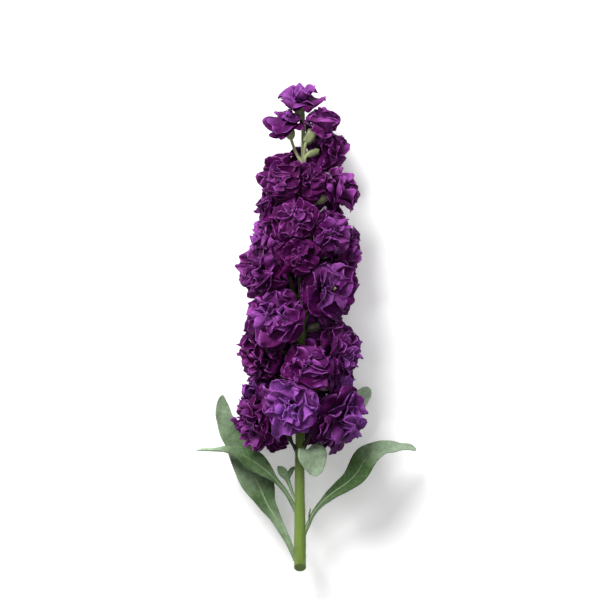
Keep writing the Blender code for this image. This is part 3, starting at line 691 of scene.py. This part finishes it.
def build_bloom(number, seat, walls, blanks, surface):
    """A double bloom: whorl on whorl of petals, all in one mesh, that stands for one node."""
    name = f"bloom_{number:02d}"
    rng = random.Random(SEEDS.get(number, BLOOM_SEED + number))
    whorls = YOUNG_WHORLS if seat.young else WHORLS
    if number in HEARTED:
        whorls += (HEART,)
    points, all_faces, looks, uvs = [], [], [], []
    margin = PETAL_THICKNESS / 2 + WALL_MARGIN
    crumple = YOUNG_CRUMPLE if seat.young else 1
    tone = HUES.get(number, rng.uniform(*OTHER_HUES))
    pale = PALES.get(number, rng.uniform(*OTHER_PALES))
    # How much painted light or shade the bloom has, as a shift in its painted highlight
    style = Style(tone, pale, BLOOM_HIGHLIGHT_SHIFTS.get(number, 0))
    start = YOUNG_TURN if seat.young else rng.uniform(0, math.tau)
    warp_seed = rng.random()
    for depth, whorl in enumerate(whorls):
        inward = depth / (len(whorls) - 1)
        blank = blanks[0] if whorl.fine else blanks[1]
        start += math.pi / whorl.petals * WHORL_TURN
        for place in range(whorl.petals):
            angle = start + (place + rng.uniform(*PLACE_SHIFTS)) * math.tau / whorl.petals
            growth = growth_towards(seat, walls, angle)
            growth = SIZES.get(number, 1) * (1 + (growth - 1) * (1 - inward))
            sheet, ridge = draw_petal(seat, whorl, angle, growth, blank, rng)
            sheet = crumpled(sheet, random.Random(warp_seed), crumple)
            all_faces.append(blank.faces + sum(map(len, points)))
            points.append(swayed(pressed(sheet, seat, walls, margin), seat))
            uvs.append(np.stack((blank.across / 2 + 0.5, blank.along), axis=1))
            looks.append(petal_look(style, whorl, inward, ridge, blank.spread, rng))
    mesh = bpy.data.meshes.new(name + "_petals")
    mesh.from_pydata(np.concatenate(points).tolist(), [], np.concatenate(all_faces).tolist())
    set_shade(mesh, np.concatenate(looks))
    uv_map = mesh.uv_layers.new(name="UVMap")
    corners = np.concatenate(all_faces).ravel()
    uv_map.data.foreach_set("uv", np.concatenate(uvs)[corners].ravel())
    piece = bpy.data.objects.new(name + "_petals", mesh)
    bpy.context.scene.collection.objects.link(piece)
    piece.data.materials.append(surface)
    mesh.shade_smooth()
    finish_with(piece, "SOLIDIFY", thickness=PETAL_THICKNESS, offset=0)
    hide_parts(name)
    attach(piece, "root")


def place_on_stem(piece, node, surface):
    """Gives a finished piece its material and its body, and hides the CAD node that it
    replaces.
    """
    piece.data.materials.clear()
    piece.data.materials.append(surface)
    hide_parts(node)
    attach(piece, "root")


def finish_with(piece, kind, **settings):
    """Adds one modifier to a piece and applies it."""
    bpy.ops.object.select_all(action="DESELECT")
    bpy.context.view_layer.objects.active = piece
    piece.select_set(True)
    work = piece.modifiers.new(kind.title(), kind)
    for name, value in settings.items():
        setattr(work, name, value)
    bpy.ops.object.modifier_apply(modifier=work.name)


def start_editing():
    """Goes into edit mode on the active piece, with all of it selected."""
    bpy.ops.object.mode_set(mode="EDIT")
    bpy.ops.mesh.select_all(action="SELECT")


def end_editing():
    """Turns all faces outwards and leaves edit mode."""
    bpy.ops.mesh.select_all(action="SELECT")
    bpy.ops.mesh.normals_make_consistent(inside=False)
    bpy.ops.object.mode_set(mode="OBJECT")


def build_main_stem(surface):
    """The stem, drawn up ring by ring from its foot and cut on the slant with a sunken pith.
    """
    bpy.ops.object.select_all(action="DESELECT")
    place = stem_at(0) - Vector((0, STEM_START, 0))
    radius = STEM_LINE[0][2]
    bpy.ops.mesh.primitive_circle_add(
        vertices=STEM_SIDES,
        radius=radius * MM,
        fill_type="NGON",
        location=place,
        rotation=(math.radians(-90), 0, 0),
    )
    stem = bpy.context.object
    stem.name = "main_stem"
    bpy.ops.object.transform_apply(location=True, rotation=True, scale=True)
    start_editing()
    last = STEM_LINE[-1][0]
    for number in range(1, STEM_RINGS + 1):
        along = last * number / STEM_RINGS
        following = stem_at(along * MM)
        wanted = np.interp(along, [k[0] for k in STEM_LINE], [k[2] for k in STEM_LINE])
        swell = 1
        for size, rate, phase in STEM_SWELLS:
            swell += size * math.sin(rate * along + phase)
        wanted *= swell
        bpy.ops.mesh.extrude_region_move(TRANSFORM_OT_translate={"value": following - place})
        bpy.ops.transform.resize(value=(wanted / radius,) * 3, center_override=following)
        place, radius = following, wanted
    bpy.ops.mesh.select_all(action="SELECT")
    bpy.ops.mesh.bisect(
        plane_co=Vector((STEM_X, CUT_END_Y, AXIS_HEIGHT - STEM_LINE[0][2] * MM)),
        plane_no=(0, math.cos(CUT_ANGLE), -math.sin(CUT_ANGLE)),
        use_fill=True,
        clear_inner=True,
    )
    bpy.ops.mesh.inset(thickness=BARK_WIDTH)
    bpy.ops.mesh.inset(thickness=PITH_SLOPE_WIDTH, depth=-PITH_DEPTH)
    end_editing()
    bpy.ops.object.shade_smooth_by_angle(angle=SHARP_ANGLE)
    place_on_stem(stem, "stem", surface)
    return stem


def build_stalks(seats, surface):
    """The flower stalks: a bevelled curve for each bloom, swollen where it leaves the stem."""
    bpy.ops.object.select_all(action="DESELECT")
    bpy.ops.curve.primitive_bezier_curve_add()
    stalks = bpy.context.object
    stalks.name = "flower_stalks"
    curve = stalks.data
    curve.splines.clear()
    curve.bevel_depth = STALK_RADIUS
    curve.bevel_resolution = 3
    curve.resolution_u = 8
    curve.use_fill_caps = True
    stalks.location = (0, 0, 0)
    for seat in seats:
        base = seat.neck - seat.facing * CALYX_LENGTH
        rise = min(STALK_RISE, STALK_SLOPE * (base - seat.axis_point).length + LEAST_RISE)
        if seat.at_tip:
            rise = TIP_RISE
        root = stem_at(seat.along - rise - STALK_SAG * seat.reach)
        if seat.reach < LEAST_CLEARANCE:
            root = stem_at(STEM_LINE[-1][0] * MM - LEAST_RISE)
        sag = Vector((0, 1, 0)) * (STALK_SAG * (base - root).length)
        places = (root, root.lerp(base, 0.5) - sag, base, base + seat.facing * COLLAR_REACH)
        spline = curve.splines.new("BEZIER")
        spline.bezier_points.add(len(places) - 1)
        for point, place, girth in zip(spline.bezier_points, places, STALK_GIRTHS):
            point.co = place
            point.handle_left_type = "AUTO"
            point.handle_right_type = "AUTO"
            point.radius = girth
    bpy.ops.object.convert(target="MESH")
    bpy.ops.object.shade_smooth()
    place_on_stem(stalks, "stem", surface)


def settled_order(mesh):
    """A mesh's points, and their order by place: their numbers differ from run to run."""
    places = np.array([vertex.co[:] for vertex in mesh.vertices])
    x, y, z = np.round(places.T / MM, 3)
    return places, np.lexsort((x, z, y))


def calyx_shape():
    """One calyx at the origin, mouth up: a four-lobed cup of felted sepals."""
    bpy.ops.object.select_all(action="DESELECT")
    bpy.ops.mesh.primitive_circle_add(
        vertices=CALYX_SIDES, radius=CALYX_FOOT * MM, fill_type="NOTHING"
    )
    cup = bpy.context.object
    start_editing()
    radius, height = CALYX_FOOT, 0.0
    for wanted, level in CALYX_PROFILE:
        climb = (0, 0, (level - height) * MM)
        bpy.ops.mesh.extrude_region_move(TRANSFORM_OT_translate={"value": climb})
        bpy.ops.transform.resize(value=(wanted / radius, wanted / radius, 1))
        radius, height = wanted, level
    bpy.ops.object.mode_set(mode="OBJECT")
    sepal = cup.data.attributes.new("sepal", "FLOAT", "POINT")
    for vertex in cup.data.vertices:
        lobe = 0.5 + 0.5 * math.cos(SEPALS * math.atan2(vertex.co.y, vertex.co.x))
        sepal.data[vertex.index].value = lobe
        share = vertex.co.z / CALYX_LENGTH
        out = Vector((vertex.co.x, vertex.co.y, 0)).normalized()
        swell = math.sin(math.pi * min(share, 1))
        vertex.co += out * (SEPAL_RELIEF * (lobe - SEAM_LEVEL) * swell)
        rise = (lobe - LOBE_LEVEL) * LOBE_RISE * MM
        vertex.co.z += rise * max(share - LOBE_START, 0) / (1 - LOBE_START)
    finish_with(cup, "SOLIDIFY", thickness=CALYX_WALL, offset=-1)
    finish_with(cup, "SUBSURF", levels=1, render_levels=1)
    return cup


def build_calyces(seats, surface):
    """A calyx under every bloom, copied from one, each turned and sized a little anew."""
    pattern = calyx_shape()
    _, settled = settled_order(pattern.data)
    copies = []
    for number, seat in enumerate(seats):
        rng = random.Random(CALYX_SEED + number)
        cup = pattern.copy()
        cup.data = pattern.data.copy()
        bpy.context.scene.collection.objects.link(cup)
        turn = Matrix.Rotation(rng.uniform(0, math.tau), 4, "Z")
        girth = TIP_GIRTH if seat.at_tip else 1
        girths = [girth * rng.uniform(*CALYX_GIRTHS) for _ in range(2)]
        size = Matrix.Diagonal((*girths, 1, 1))
        frame_of = Matrix((seat.side, seat.up, seat.facing)).transposed().to_4x4()
        frame_of.translation = seat.neck - seat.facing * CALYX_LENGTH
        cup.data.transform(frame_of @ size @ turn)
        # Low in the head of blooms a calyx is dark, partly painted shade; near the tip it is
        # pale
        paleness = min(max((seat.along - SHADED_CALYX_END) / (PALE_START - SHADED_CALYX_END), 0), 1)
        looks = np.empty((len(settled), 4))
        looks[settled] = [(paleness, rng.random(), 0, 1) for _ in settled]
        set_shade(cup.data, looks)
        copies.append(cup)
    bpy.data.objects.remove(pattern)
    bpy.ops.object.select_all(action="DESELECT")
    for cup in copies:
        cup.select_set(True)
    bpy.context.view_layer.objects.active = copies[0]
    bpy.ops.object.join()
    calyces = bpy.context.object
    calyces.name = "calyces"
    start_editing()
    end_editing()
    bpy.ops.object.shade_smooth()
    place_on_stem(calyces, "stem", surface)
    return calyces


def grow_hairs(name, ground, count, surface):
    """Short hairs scattered over a finished piece, all copies of one three-sided cone."""
    bpy.ops.object.select_all(action="DESELECT")
    bpy.ops.mesh.primitive_cone_add(
        vertices=3,
        radius1=HAIR_RADIUS,
        radius2=0,
        depth=1,
        end_fill_type="NOTHING",
        location=(0, 0, 0.5),
    )
    bpy.ops.object.transform_apply(location=True, rotation=False, scale=False)
    pattern = bpy.context.object
    shape = np.array([vertex.co[:] for vertex in pattern.data.vertices])
    sides = np.array([face.vertices[:] for face in pattern.data.polygons])
    bpy.data.objects.remove(pattern)

    ground.data.calc_loop_triangles()
    triangles = ground.data.loop_triangles
    places, settled = settled_order(ground.data)
    ranks = np.argsort(settled)
    triples = np.sort(ranks[np.array([t.vertices[:] for t in triangles])], axis=1)
    order = np.lexsort(triples.T)
    corners = places[settled][triples[order]]
    sizes = np.array([t.area for t in triangles])[order]
    normals = np.array([t.normal[:] for t in triangles])[order]

    rng = np.random.default_rng(HAIR_SEED)
    chosen = rng.choice(len(corners), count, p=sizes / sizes.sum())
    shares = rng.dirichlet((1, 1, 1), count)
    roots = (corners[chosen] * shares[:, :, None]).sum(axis=1)
    ways = normals[chosen] + rng.normal(0, HAIR_LEAN, (count, 3))
    ways /= np.linalg.norm(ways, axis=1)[:, None]
    across = np.cross(ways, rng.normal(0, 1, (count, 3)))
    across /= np.linalg.norm(across, axis=1)[:, None]
    beside = np.cross(ways, across)
    lengths = HAIR_LENGTH * rng.uniform(*HAIR_LENGTHS, count)

    points = roots[:, None] + across[:, None] * shape[None, :, :1]
    points = points + beside[:, None] * shape[None, :, 1:2]
    points = points + ways[:, None] * (shape[None, :, 2:] * lengths[:, None, None])
    faces = sides[None] + (np.arange(count) * len(shape))[:, None, None]
    mesh = bpy.data.meshes.new(name)
    mesh.from_pydata(points.reshape(-1, 3).tolist(), [], faces.reshape(-1, 3).tolist())
    hairs = bpy.data.objects.new(name, mesh)
    bpy.context.scene.collection.objects.link(hairs)
    place_on_stem(hairs, "stem", surface)


def smooth_values(stations, rows):
    """A smooth run through the stations' five values, as an array with this many rows."""
    keys = np.array(stations, dtype=float)
    padded = np.vstack((2 * keys[0] - keys[1], keys, 2 * keys[-1] - keys[-2]))
    values = []
    for place in np.linspace(0, len(keys) - 1, rows):
        number = min(int(place), len(keys) - 2)
        t = place - number
        a, b, c, d = padded[number : number + 4]
        bend = 2 * a - 5 * b + 4 * c - d
        values.append(b + 0.5 * t * (c - a + t * (bend + t * (3 * (b - c) + d - a))))
    return np.array(values)


def build_blade(name, node, surface):
    """A leaf laid along its stations: a waved, arched blade with a raised midrib."""
    stations = LEAVES[name]
    rows = ROWS_PER_STATION * (len(stations) - 1)
    bpy.ops.object.select_all(action="DESELECT")
    bpy.ops.mesh.primitive_grid_add(x_subdivisions=BLADE_COLUMNS, y_subdivisions=rows, size=2)
    blade = bpy.context.object
    blade.name = name + "_blade"
    mesh = blade.data
    values = smooth_values(stations, rows + 1)
    widths = np.clip(values[:, 3], LEAST_WIDTH, None)
    rolls = values[:, 4]
    centres = np.array((STEM_X, CUT_END_Y, AXIS_HEIGHT)) + values[:, :3] * MM
    steps = np.linalg.norm(np.diff(centres, axis=0), axis=1)
    travelled = np.concatenate(([0], np.cumsum(steps)))
    total = travelled[-1]
    phase = random.Random(name).uniform(0, math.tau)
    pale_shares, pale_values = zip(*LEAF_PALENESS_AND_LIGHT[name])
    above = Vector(ARCHED_OVER if name == "leaf_front" else (0, 0, 1))
    looks = np.empty((len(mesh.vertices), 4))
    rib = blade.vertex_groups.new(name="rib")
    thickest = RIB_AT_ROOT if total > SHORT_LEAF else RIB_IF_SHORT
    for vertex in mesh.vertices:
        row = round((vertex.co.y + 1) / 2 * rows)
        side = math.copysign(abs(vertex.co.x) ** COLUMN_CROWDING, vertex.co.x)
        share = travelled[row] / total
        heading = Vector(centres[min(row + 1, rows)] - centres[max(row - 1, 0)]).normalized()
        flat = heading.cross(above)
        flat = Matrix.Rotation(math.radians(rolls[row]), 3, heading) @ flat
        flat = (flat - heading * flat.dot(heading)).normalized()
        normal = flat.cross(heading)
        width = widths[row] * MM
        narrowing = (max(share - TIP_START, 0) / TIP_LENGTH) ** 2
        width *= math.sqrt(max(1 - narrowing, LEAST_TIP))
        off_rib = side * (width / 2)

        lift = ARCH * width * abs(side) ** ARCH_CURVE
        limb = min(width / FULL_WAVE_WIDTH, total / FULL_WAVE_LENGTH, 1)
        limb *= 1 - abs(rolls[row]) / 100
        size, turn = SWELLS
        lift += size * limb * side * abs(side) * math.sin(travelled[row] / turn + phase)
        size, turn = RIPPLES
        lift += size * limb * abs(side) ** 3 * math.sin(travelled[row] / turn + 2 * phase)
        vertex.co = Vector(centres[row]) + flat * off_rib + normal * lift

        across = off_rib / MM / SHADE_WIDTH + 0.5
        # The paleness is partly the felt's own and partly painted light
        paleness = np.interp(share, pale_shares, pale_values)
        looks[vertex.index] = (across, share, total / (SHADE_LENGTH * MM), paleness)

        rib_here = thickest + (RIB_AT_TIP - thickest) * share
        on_rib = math.exp(-((off_rib / (RIB_WIDTH * (1 - RIB_TAPER * share))) ** 2) * 2)
        thick = BLADE_THICKNESS + (rib_here - BLADE_THICKNESS) * on_rib
        rib.add([vertex.index], thick / thickest, "REPLACE")
    set_shade(mesh, looks)
    finish_with(blade, "SOLIDIFY", thickness=thickest, offset=0, vertex_group="rib")
    bpy.ops.object.shade_smooth()
    place_on_stem(blade, node, surface)


class Field:
    """A value that a shader works out over a surface, so that a sum is written as a sum."""

    def __init__(self, paint, socket):
        self.paint = paint
        self.socket = socket

    def __add__(self, other):
        return self.paint.math("ADD", self, other)

    def __sub__(self, other):
        return self.paint.math("SUBTRACT", self, other)

    def __rsub__(self, other):
        return self.paint.math("SUBTRACT", other, self)

    def __mul__(self, other):
        return self.paint.math("MULTIPLY", self, other)

    def __truediv__(self, other):
        return self.paint.math("DIVIDE", self, other)

    __radd__ = __add__
    __rmul__ = __mul__


class Paint:
    """One material, whose nodes all come from the method called node."""

    def __init__(self, name, **constants):
        self.material = bpy.data.materials.new(name)
        self.material.use_nodes = True
        self.tree = self.material.node_tree
        self.shader = self.tree.nodes["Principled BSDF"]
        for socket, value in constants.items():
            self.shader.inputs[socket.replace("_", " ")].default_value = value

    def node(self, kind, settings, sockets, output=0):
        made = self.tree.nodes.new(kind)
        for name, value in settings.items():
            setattr(made, name, value)
        for name, value in sockets.items():
            self.feed(made.inputs[name], value)
        return Field(self, made.outputs[output])

    def feed(self, socket, value):
        if isinstance(value, Field):
            self.tree.links.new(value.socket, socket)
        elif isinstance(value, tuple) and socket.type == "RGBA" and len(value) == 3:
            socket.default_value = (*value, 1)
        else:
            socket.default_value = value

    def parts(self, kind, value):
        """The three parts of a colour or a vector."""
        split = self.node(kind, {}, {0: value}).socket.node
        return [Field(self, output) for output in split.outputs[:3]]

    def attribute(self, name, output):
        return self.node("ShaderNodeAttribute", {"attribute_name": name}, {}, output)

    def place(self):
        """Where each point is on the object."""
        return self.node("ShaderNodeTexCoord", {}, {}, "Object")

    def math(self, operation, first, second):
        return self.node("ShaderNodeMath", {"operation": operation}, {0: first, 1: second})

    def mix(self, factor, first, second, held=True):
        """The first colour where the factor is 0, the second where it is 1."""
        settings = {"data_type": "RGBA", "clamp_factor": held}
        return self.node("ShaderNodeMix", settings, {0: factor, 6: first, 7: second}, 2)

    def step(self, value, low, high):
        """Goes smoothly from 0 to 1 while the value goes from low to high."""
        settings = {"interpolation_type": "SMOOTHSTEP"}
        return self.node("ShaderNodeMapRange", settings, {0: value, 1: low, 2: high})

    def noise(self, scale, detail=3.0, place=None):
        sockets = {"Vector": place or self.place(), "Scale": scale, "Detail": detail}
        return self.node("ShaderNodeTexNoise", {}, sockets)

    def lit(self, colour, light):
        """The colour made lighter or darker by this factor."""
        return self.node("ShaderNodeVectorMath", {"operation": "SCALE"}, {0: colour, 3: light})

    def bumps(self, height, strength, distance):
        sockets = {"Strength": strength, "Distance": distance, "Height": height}
        return self.node("ShaderNodeBump", {}, sockets)

    def surface(self, **fields):
        for socket, value in fields.items():
            self.feed(self.shader.inputs[socket.replace("_", " ")], value)
        return self.material


def petal_paint():
    """Velvet: magenta to violet, dark at the claw partly from painted shade, with painted
    highlights on the ridges and rims, and paler in the heart.
    """
    magenta, violet = (0.072, 0.002, 0.056), (0.048, 0.002, 0.068)
    pink_highlight, lilac_highlight = (0.330, 0.060, 0.320), (0.290, 0.080, 0.430)
    pink_heart, lilac_heart = (0.350, 0.085, 0.370), (0.300, 0.100, 0.470)
    pink_rim_light, lilac_rim_light = (0.350, 0.080, 0.345), (0.310, 0.095, 0.450)
    plum, blackish, cream = (0.032, 0.001, 0.028), (0.012, 0.001, 0.012), (0.420, 0.400, 0.240)
    paint = Paint(
        "petal velvet",
        Specular_IOR_Level=0.05,
        Sheen_Weight=0.04,
        Sheen_Roughness=0.4,
        Sheen_Tint=(0.7, 0.35, 0.9, 1),
    )
    rim_way = paint.attribute("shade", "Alpha")
    shade = paint.attribute("shade", "Color")
    tone, pale, ridge = paint.parts("ShaderNodeSeparateColor", shade)
    uv = paint.node("ShaderNodeUVMap", {"uv_map": "UVMap"}, {})
    u, v, _ = paint.parts("ShaderNodeSeparateXYZ", uv)

    # Veins fan out from the claw, and no two petals have the same ones
    fan = (u * 2 - 1) / (v + 0.3)
    fanned = paint.node("ShaderNodeCombineXYZ", {}, {0: fan * 14, 1: v * 1.6, 2: tone * 40})
    veins = paint.noise(1.0, 3.0, fanned)
    mottle = paint.noise(420.0, 4.0)
    clouds = paint.noise(75.0, 2.0)

    body = paint.mix(tone, magenta, violet)
    body = paint.mix(paint.step(clouds, 0.40, 0.62) * 0.60, body, plum)
    # Painted highlight: pale pink or lilac on the crests of the ruffles, more or less of it
    # per bloom as painted light or shade
    crest_highlight = paint.mix(tone, pink_highlight, lilac_highlight)
    body = paint.mix(paint.step(ridge, 0.50, 1.0) * 0.85, body, crest_highlight)
    inner = paint.mix(tone, pink_heart, lilac_heart)
    body = paint.mix(paint.step(pale, 0.0, 0.75), body, inner)
    # Painted rim light: thin pale lines along the petals' rims, broken up by the mottle
    rim = paint.step(rim_way, 0.90, 1.0) * paint.step(mottle, 0.40, 0.62)
    colour = paint.mix(rim * 0.68, body, paint.mix(tone, pink_rim_light, lilac_rim_light))
    colour = paint.mix(paint.step(pale, 0.80, 0.95), colour, cream)
    # Darker towards the claw: partly the petals' own darker base, partly painted shade deep in
    # the bloom; the pale heart petals keep their colour
    claw = paint.step(v, 0.45, 0.05) * paint.step(pale, 0.95, 0.70)
    colour = paint.mix(claw * 0.9, colour, blackish)
    colour = paint.lit(colour, 0.38 + mottle * 0.86 + veins * 0.34)
    bump = paint.bumps(veins * 0.6 + mottle, 0.7, 0.0011)
    return paint.surface(Base_Color=colour, Roughness=0.55 + pale * 0.1, Normal=bump)


def stem_paint():
    """Matt green: yellow-green at the foot, painted shade in a dark band among the blooms,
    greyer to the tip, with pale down and streaks.
    """
    yellow_green, mid_green = (0.145, 0.225, 0.038), (0.088, 0.140, 0.028)
    deep_green, grey_green = (0.026, 0.042, 0.014), (0.250, 0.285, 0.135)
    bronze, pale_down = (0.110, 0.105, 0.040), (0.300, 0.350, 0.200)
    paint = Paint("downy stem", Specular_IOR_Level=0.2, Sheen_Weight=0.08)
    place = paint.place()
    _, y, _ = paint.parts("ShaderNodeSeparateXYZ", place)
    drawn_out = paint.node(
        "ShaderNodeVectorMath", {"operation": "MULTIPLY"}, {0: place, 1: (1, 0.05, 1)}
    )
    streaks = paint.noise(1500.0, 3.0, drawn_out)
    down = paint.noise(2600.0, 2.0)
    patches = paint.noise(90.0, 3.0)
    body = paint.mix(paint.step(y, -0.125, -0.060), yellow_green, mid_green)
    # Painted shade: a dark band where the stem runs deep among the blooms
    body = paint.mix(paint.step(y, 0.002, 0.020), body, deep_green)
    body = paint.mix(paint.step(y, 0.070, 0.110), body, grey_green)
    body = paint.mix(paint.step(patches, 0.45, 0.75) * 0.4, body, bronze)
    colour = paint.mix(paint.step(down, 0.58, 0.76) * 0.25, body, pale_down)
    colour = paint.lit(colour, 0.60 + streaks * 0.75)
    bump = paint.bumps(streaks + down * 0.5, 0.5, 0.0004)
    return paint.surface(Base_Color=colour, Roughness=0.6 + down * 0.2, Normal=bump)


def stalk_paint():
    """Olive green, darker among the blooms as painted shade and tinged with purple there, pale
    near the tip.
    """
    olive, purplish = (0.034, 0.050, 0.016), (0.036, 0.020, 0.020)
    pale_green = (0.280, 0.310, 0.150)
    paint = Paint("flower stalk", Specular_IOR_Level=0.2, Sheen_Weight=0.05)
    _, y, _ = paint.parts("ShaderNodeSeparateXYZ", paint.place())
    down = paint.noise(2600.0, 2.0)
    patches = paint.noise(140.0, 3.0)
    # Dark olive, partly painted shade among the blooms, with patches of a purple tinge
    body = paint.mix(paint.step(patches, 0.4, 0.6), olive, purplish)
    body = paint.mix(paint.step(y, 0.055, 0.095), body, pale_green)
    colour = paint.lit(body, 0.60 + down * 0.80)
    bump = paint.bumps(down, 0.5, 0.0003)
    return paint.surface(Base_Color=colour, Roughness=0.65 + down * 0.2, Normal=bump)


def calyx_paint():
    """Felt: deep olive with purple low in the head of blooms, partly painted shade, pale
    grey-green at the tip.
    """
    olive, purplish = (0.055, 0.080, 0.028), (0.060, 0.030, 0.040)
    fresh_green, fresh_grey = (0.180, 0.220, 0.080), (0.300, 0.330, 0.170)
    pale_seam, dark_keel = (0.360, 0.390, 0.260), (0.060, 0.075, 0.030)
    silver = (0.300, 0.320, 0.200)
    paint = Paint("felted calyx", Specular_IOR_Level=0.2, Sheen_Weight=0.08)
    shade = paint.attribute("shade", "Color")
    pale, tone, _ = paint.parts("ShaderNodeSeparateColor", shade)
    sepal = paint.attribute("sepal", "Fac")
    down = paint.noise(2200.0, 3.0)
    patches = paint.noise(200.0, 2.0)
    patched = paint.step(patches + tone * 0.2, 0.45, 0.70)
    # Dark olive and purple low in the head of blooms, partly painted shade, fresh green near
    # the tip
    body = paint.mix(patched, olive, purplish)
    body = paint.mix(pale, body, paint.mix(patched, fresh_green, fresh_grey))
    seam = paint.step(sepal, 0.50, 0.28) * (0.15 + pale * 0.35)
    body = paint.mix(seam, body, pale_seam)
    body = paint.mix(paint.step(sepal, 0.80, 1.0) * 0.45, body, dark_keel)
    colour = paint.mix(paint.step(down, 0.55, 0.78) * 0.35, body, silver)
    bump = paint.bumps(down, 0.5, 0.0003)
    return paint.surface(Base_Color=colour, Roughness=0.75 + down * 0.1, Normal=bump)


def hair_paint():
    """Silvery down, a little greener in places."""
    silver, green = (0.420, 0.470, 0.300), (0.250, 0.330, 0.140)
    paint = Paint("silvery down", Specular_IOR_Level=0.2, Roughness=0.8)
    tinge = paint.step(paint.noise(500.0, 2.0), 0.4, 0.6)
    return paint.surface(Base_Color=paint.mix(tinge, silver, green))


def leaf_paint():
    """Felted grey-green with a pale midrib, faint side veins and mottling; its paleness along
    each leaf is partly painted light.
    """
    deep_green, felt_green = (0.036, 0.080, 0.018), (0.300, 0.400, 0.265)
    patch_green, vein_green = (0.026, 0.058, 0.016), (0.200, 0.290, 0.150)
    rib_green, silver = (0.230, 0.330, 0.170), (0.300, 0.360, 0.260)
    paint = Paint(
        "felted leaf", Specular_IOR_Level=0.2, Sheen_Weight=0.06, Sheen_Roughness=0.5
    )
    paleness = paint.attribute("shade", "Alpha")
    shade = paint.attribute("shade", "Color")
    across, share, size = paint.parts("ShaderNodeSeparateColor", shade)
    off_rib = paint.math("ABSOLUTE", (across - 0.5) * SHADE_WIDTH, 0)
    along = share * size * SHADE_LENGTH
    felt = paint.noise(2400.0, 3.0)
    mottle = paint.noise(330.0, 4.0)
    patches = paint.noise(190.0, 2.0)

    # A paleness past 1 is paler than the felt itself: painted light on tips and on the shaded
    # leaf behind
    body = paint.mix(paleness, deep_green, felt_green, held=False)
    deep = paint.step(patches, 0.42, 0.64) * (0.34 - paleness * 0.22)
    body = paint.mix(deep, body, patch_green)
    # Side veins leave the midrib slanting towards the tip, and bend as they go
    bend = off_rib * 1.1 - off_rib * off_rib * 0.045
    veins = paint.math("SINE", (along - bend) * 1.75 + mottle * 2.0, 0)
    vein = paint.step(veins, 0.70, 1.0) * paint.step(off_rib, 9.0, 3.0)
    body = paint.mix(vein * 0.11, body, vein_green)
    rib = paint.step(off_rib, 1.2 - share * 1.5, 0.6 - share * 0.8)
    rib = rib * paint.step(share, 0.80, 0.40)
    colour = paint.mix(rib * 0.75, body, rib_green)
    colour = paint.mix(paint.step(felt, 0.55, 0.75) * 0.10, colour, silver)
    colour = paint.lit(colour, 0.53 + mottle * 0.84)
    bump = paint.bumps(felt * 0.5 + mottle * 0.8 - vein * 0.25, 0.5, 0.0006)
    return paint.surface(Base_Color=colour, Roughness=0.65 + felt * 0.15, Normal=bump)


def build_floor():
    """A pale floor like a light table."""
    bpy.ops.object.select_all(action="DESELECT")
    bpy.ops.mesh.primitive_plane_add(size=FLOOR_SIZE)
    floor = bpy.context.object
    floor.name = "floor"
    paint = Paint(
        "light table",
        Roughness=0.9,
        Base_Color=(FLOOR_GREY, FLOOR_GREY, FLOOR_GREY, 1),
        Emission_Color=(1, 1, 1, 1),
        Emission_Strength=FLOOR_GLOW,
    )
    floor.data.materials.append(paint.material)


def build_light():
    """A pale room, a soft lamp beyond the tip and a weaker one overhead."""
    world = bpy.data.worlds.new("studio")
    world.use_nodes = True
    sky = world.node_tree.nodes["Background"]
    sky.inputs["Color"].default_value = (1, 1, 1, 1)
    rays = world.node_tree.nodes.new("ShaderNodeLightPath")
    strength = world.node_tree.nodes.new("ShaderNodeMapRange")
    strength.inputs["To Min"].default_value = SKY_LIGHT
    strength.inputs["To Max"].default_value = SKY_SEEN
    world.node_tree.links.new(rays.outputs["Is Camera Ray"], strength.inputs["Value"])
    world.node_tree.links.new(strength.outputs["Result"], sky.inputs["Strength"])
    bpy.context.scene.world = world
    for spec in LAMPS:
        light = bpy.data.lights.new(spec.name, "AREA")
        light.shape = "DISK"
        light.size = spec.size
        light.energy = spec.power
        lamp = bpy.data.objects.new(spec.name, light)
        lamp.location = spec.place
        aim = Vector(LAMP_TARGET) - Vector(spec.place)
        lamp.rotation_euler = aim.to_track_quat("-Z", "Y").to_euler()
        bpy.context.scene.collection.objects.link(lamp)


def build_camera():
    """A camera that looks straight down on the stem, with the tip at the top of its view."""
    lens = bpy.data.cameras.new("camera")
    lens.lens = LENS
    camera = bpy.data.objects.new("camera", lens)
    height = AXIS_HEIGHT + VIEW_WIDTH * lens.lens / lens.sensor_width
    camera.location = (STEM_X, VIEW_MIDDLE_Y, height)
    bpy.context.scene.collection.objects.link(camera)
    bpy.context.scene.camera = camera
    bpy.context.scene.view_settings.view_transform = "Standard"


def main():
    seats = [Seat(number) for number in range(1, len(BLOOMS) + 1)]
    blanks = (petal_blank(*FINE_MESH), petal_blank(*SMALL_MESH))
    velvet = petal_paint()
    for number, seat in enumerate(seats, start=1):
        build_bloom(number, seat, walls_of(seat, seats), blanks, velvet)
    stem = build_main_stem(stem_paint())
    build_stalks(seats, stalk_paint())
    calyces = build_calyces(seats, calyx_paint())
    down = hair_paint()
    grow_hairs("stem_hairs", stem, STEM_HAIRS, down)
    grow_hairs("calyx_hairs", calyces, CALYX_HAIRS, down)
    felt = leaf_paint()
    for name in LEAVES:
        node = {"shoot_leaflet": "axil_shoot", "axil_scale": "leaf_right"}.get(name, name)
        build_blade(name, node, felt)
    build_floor()
    build_light()
    build_camera()


main()
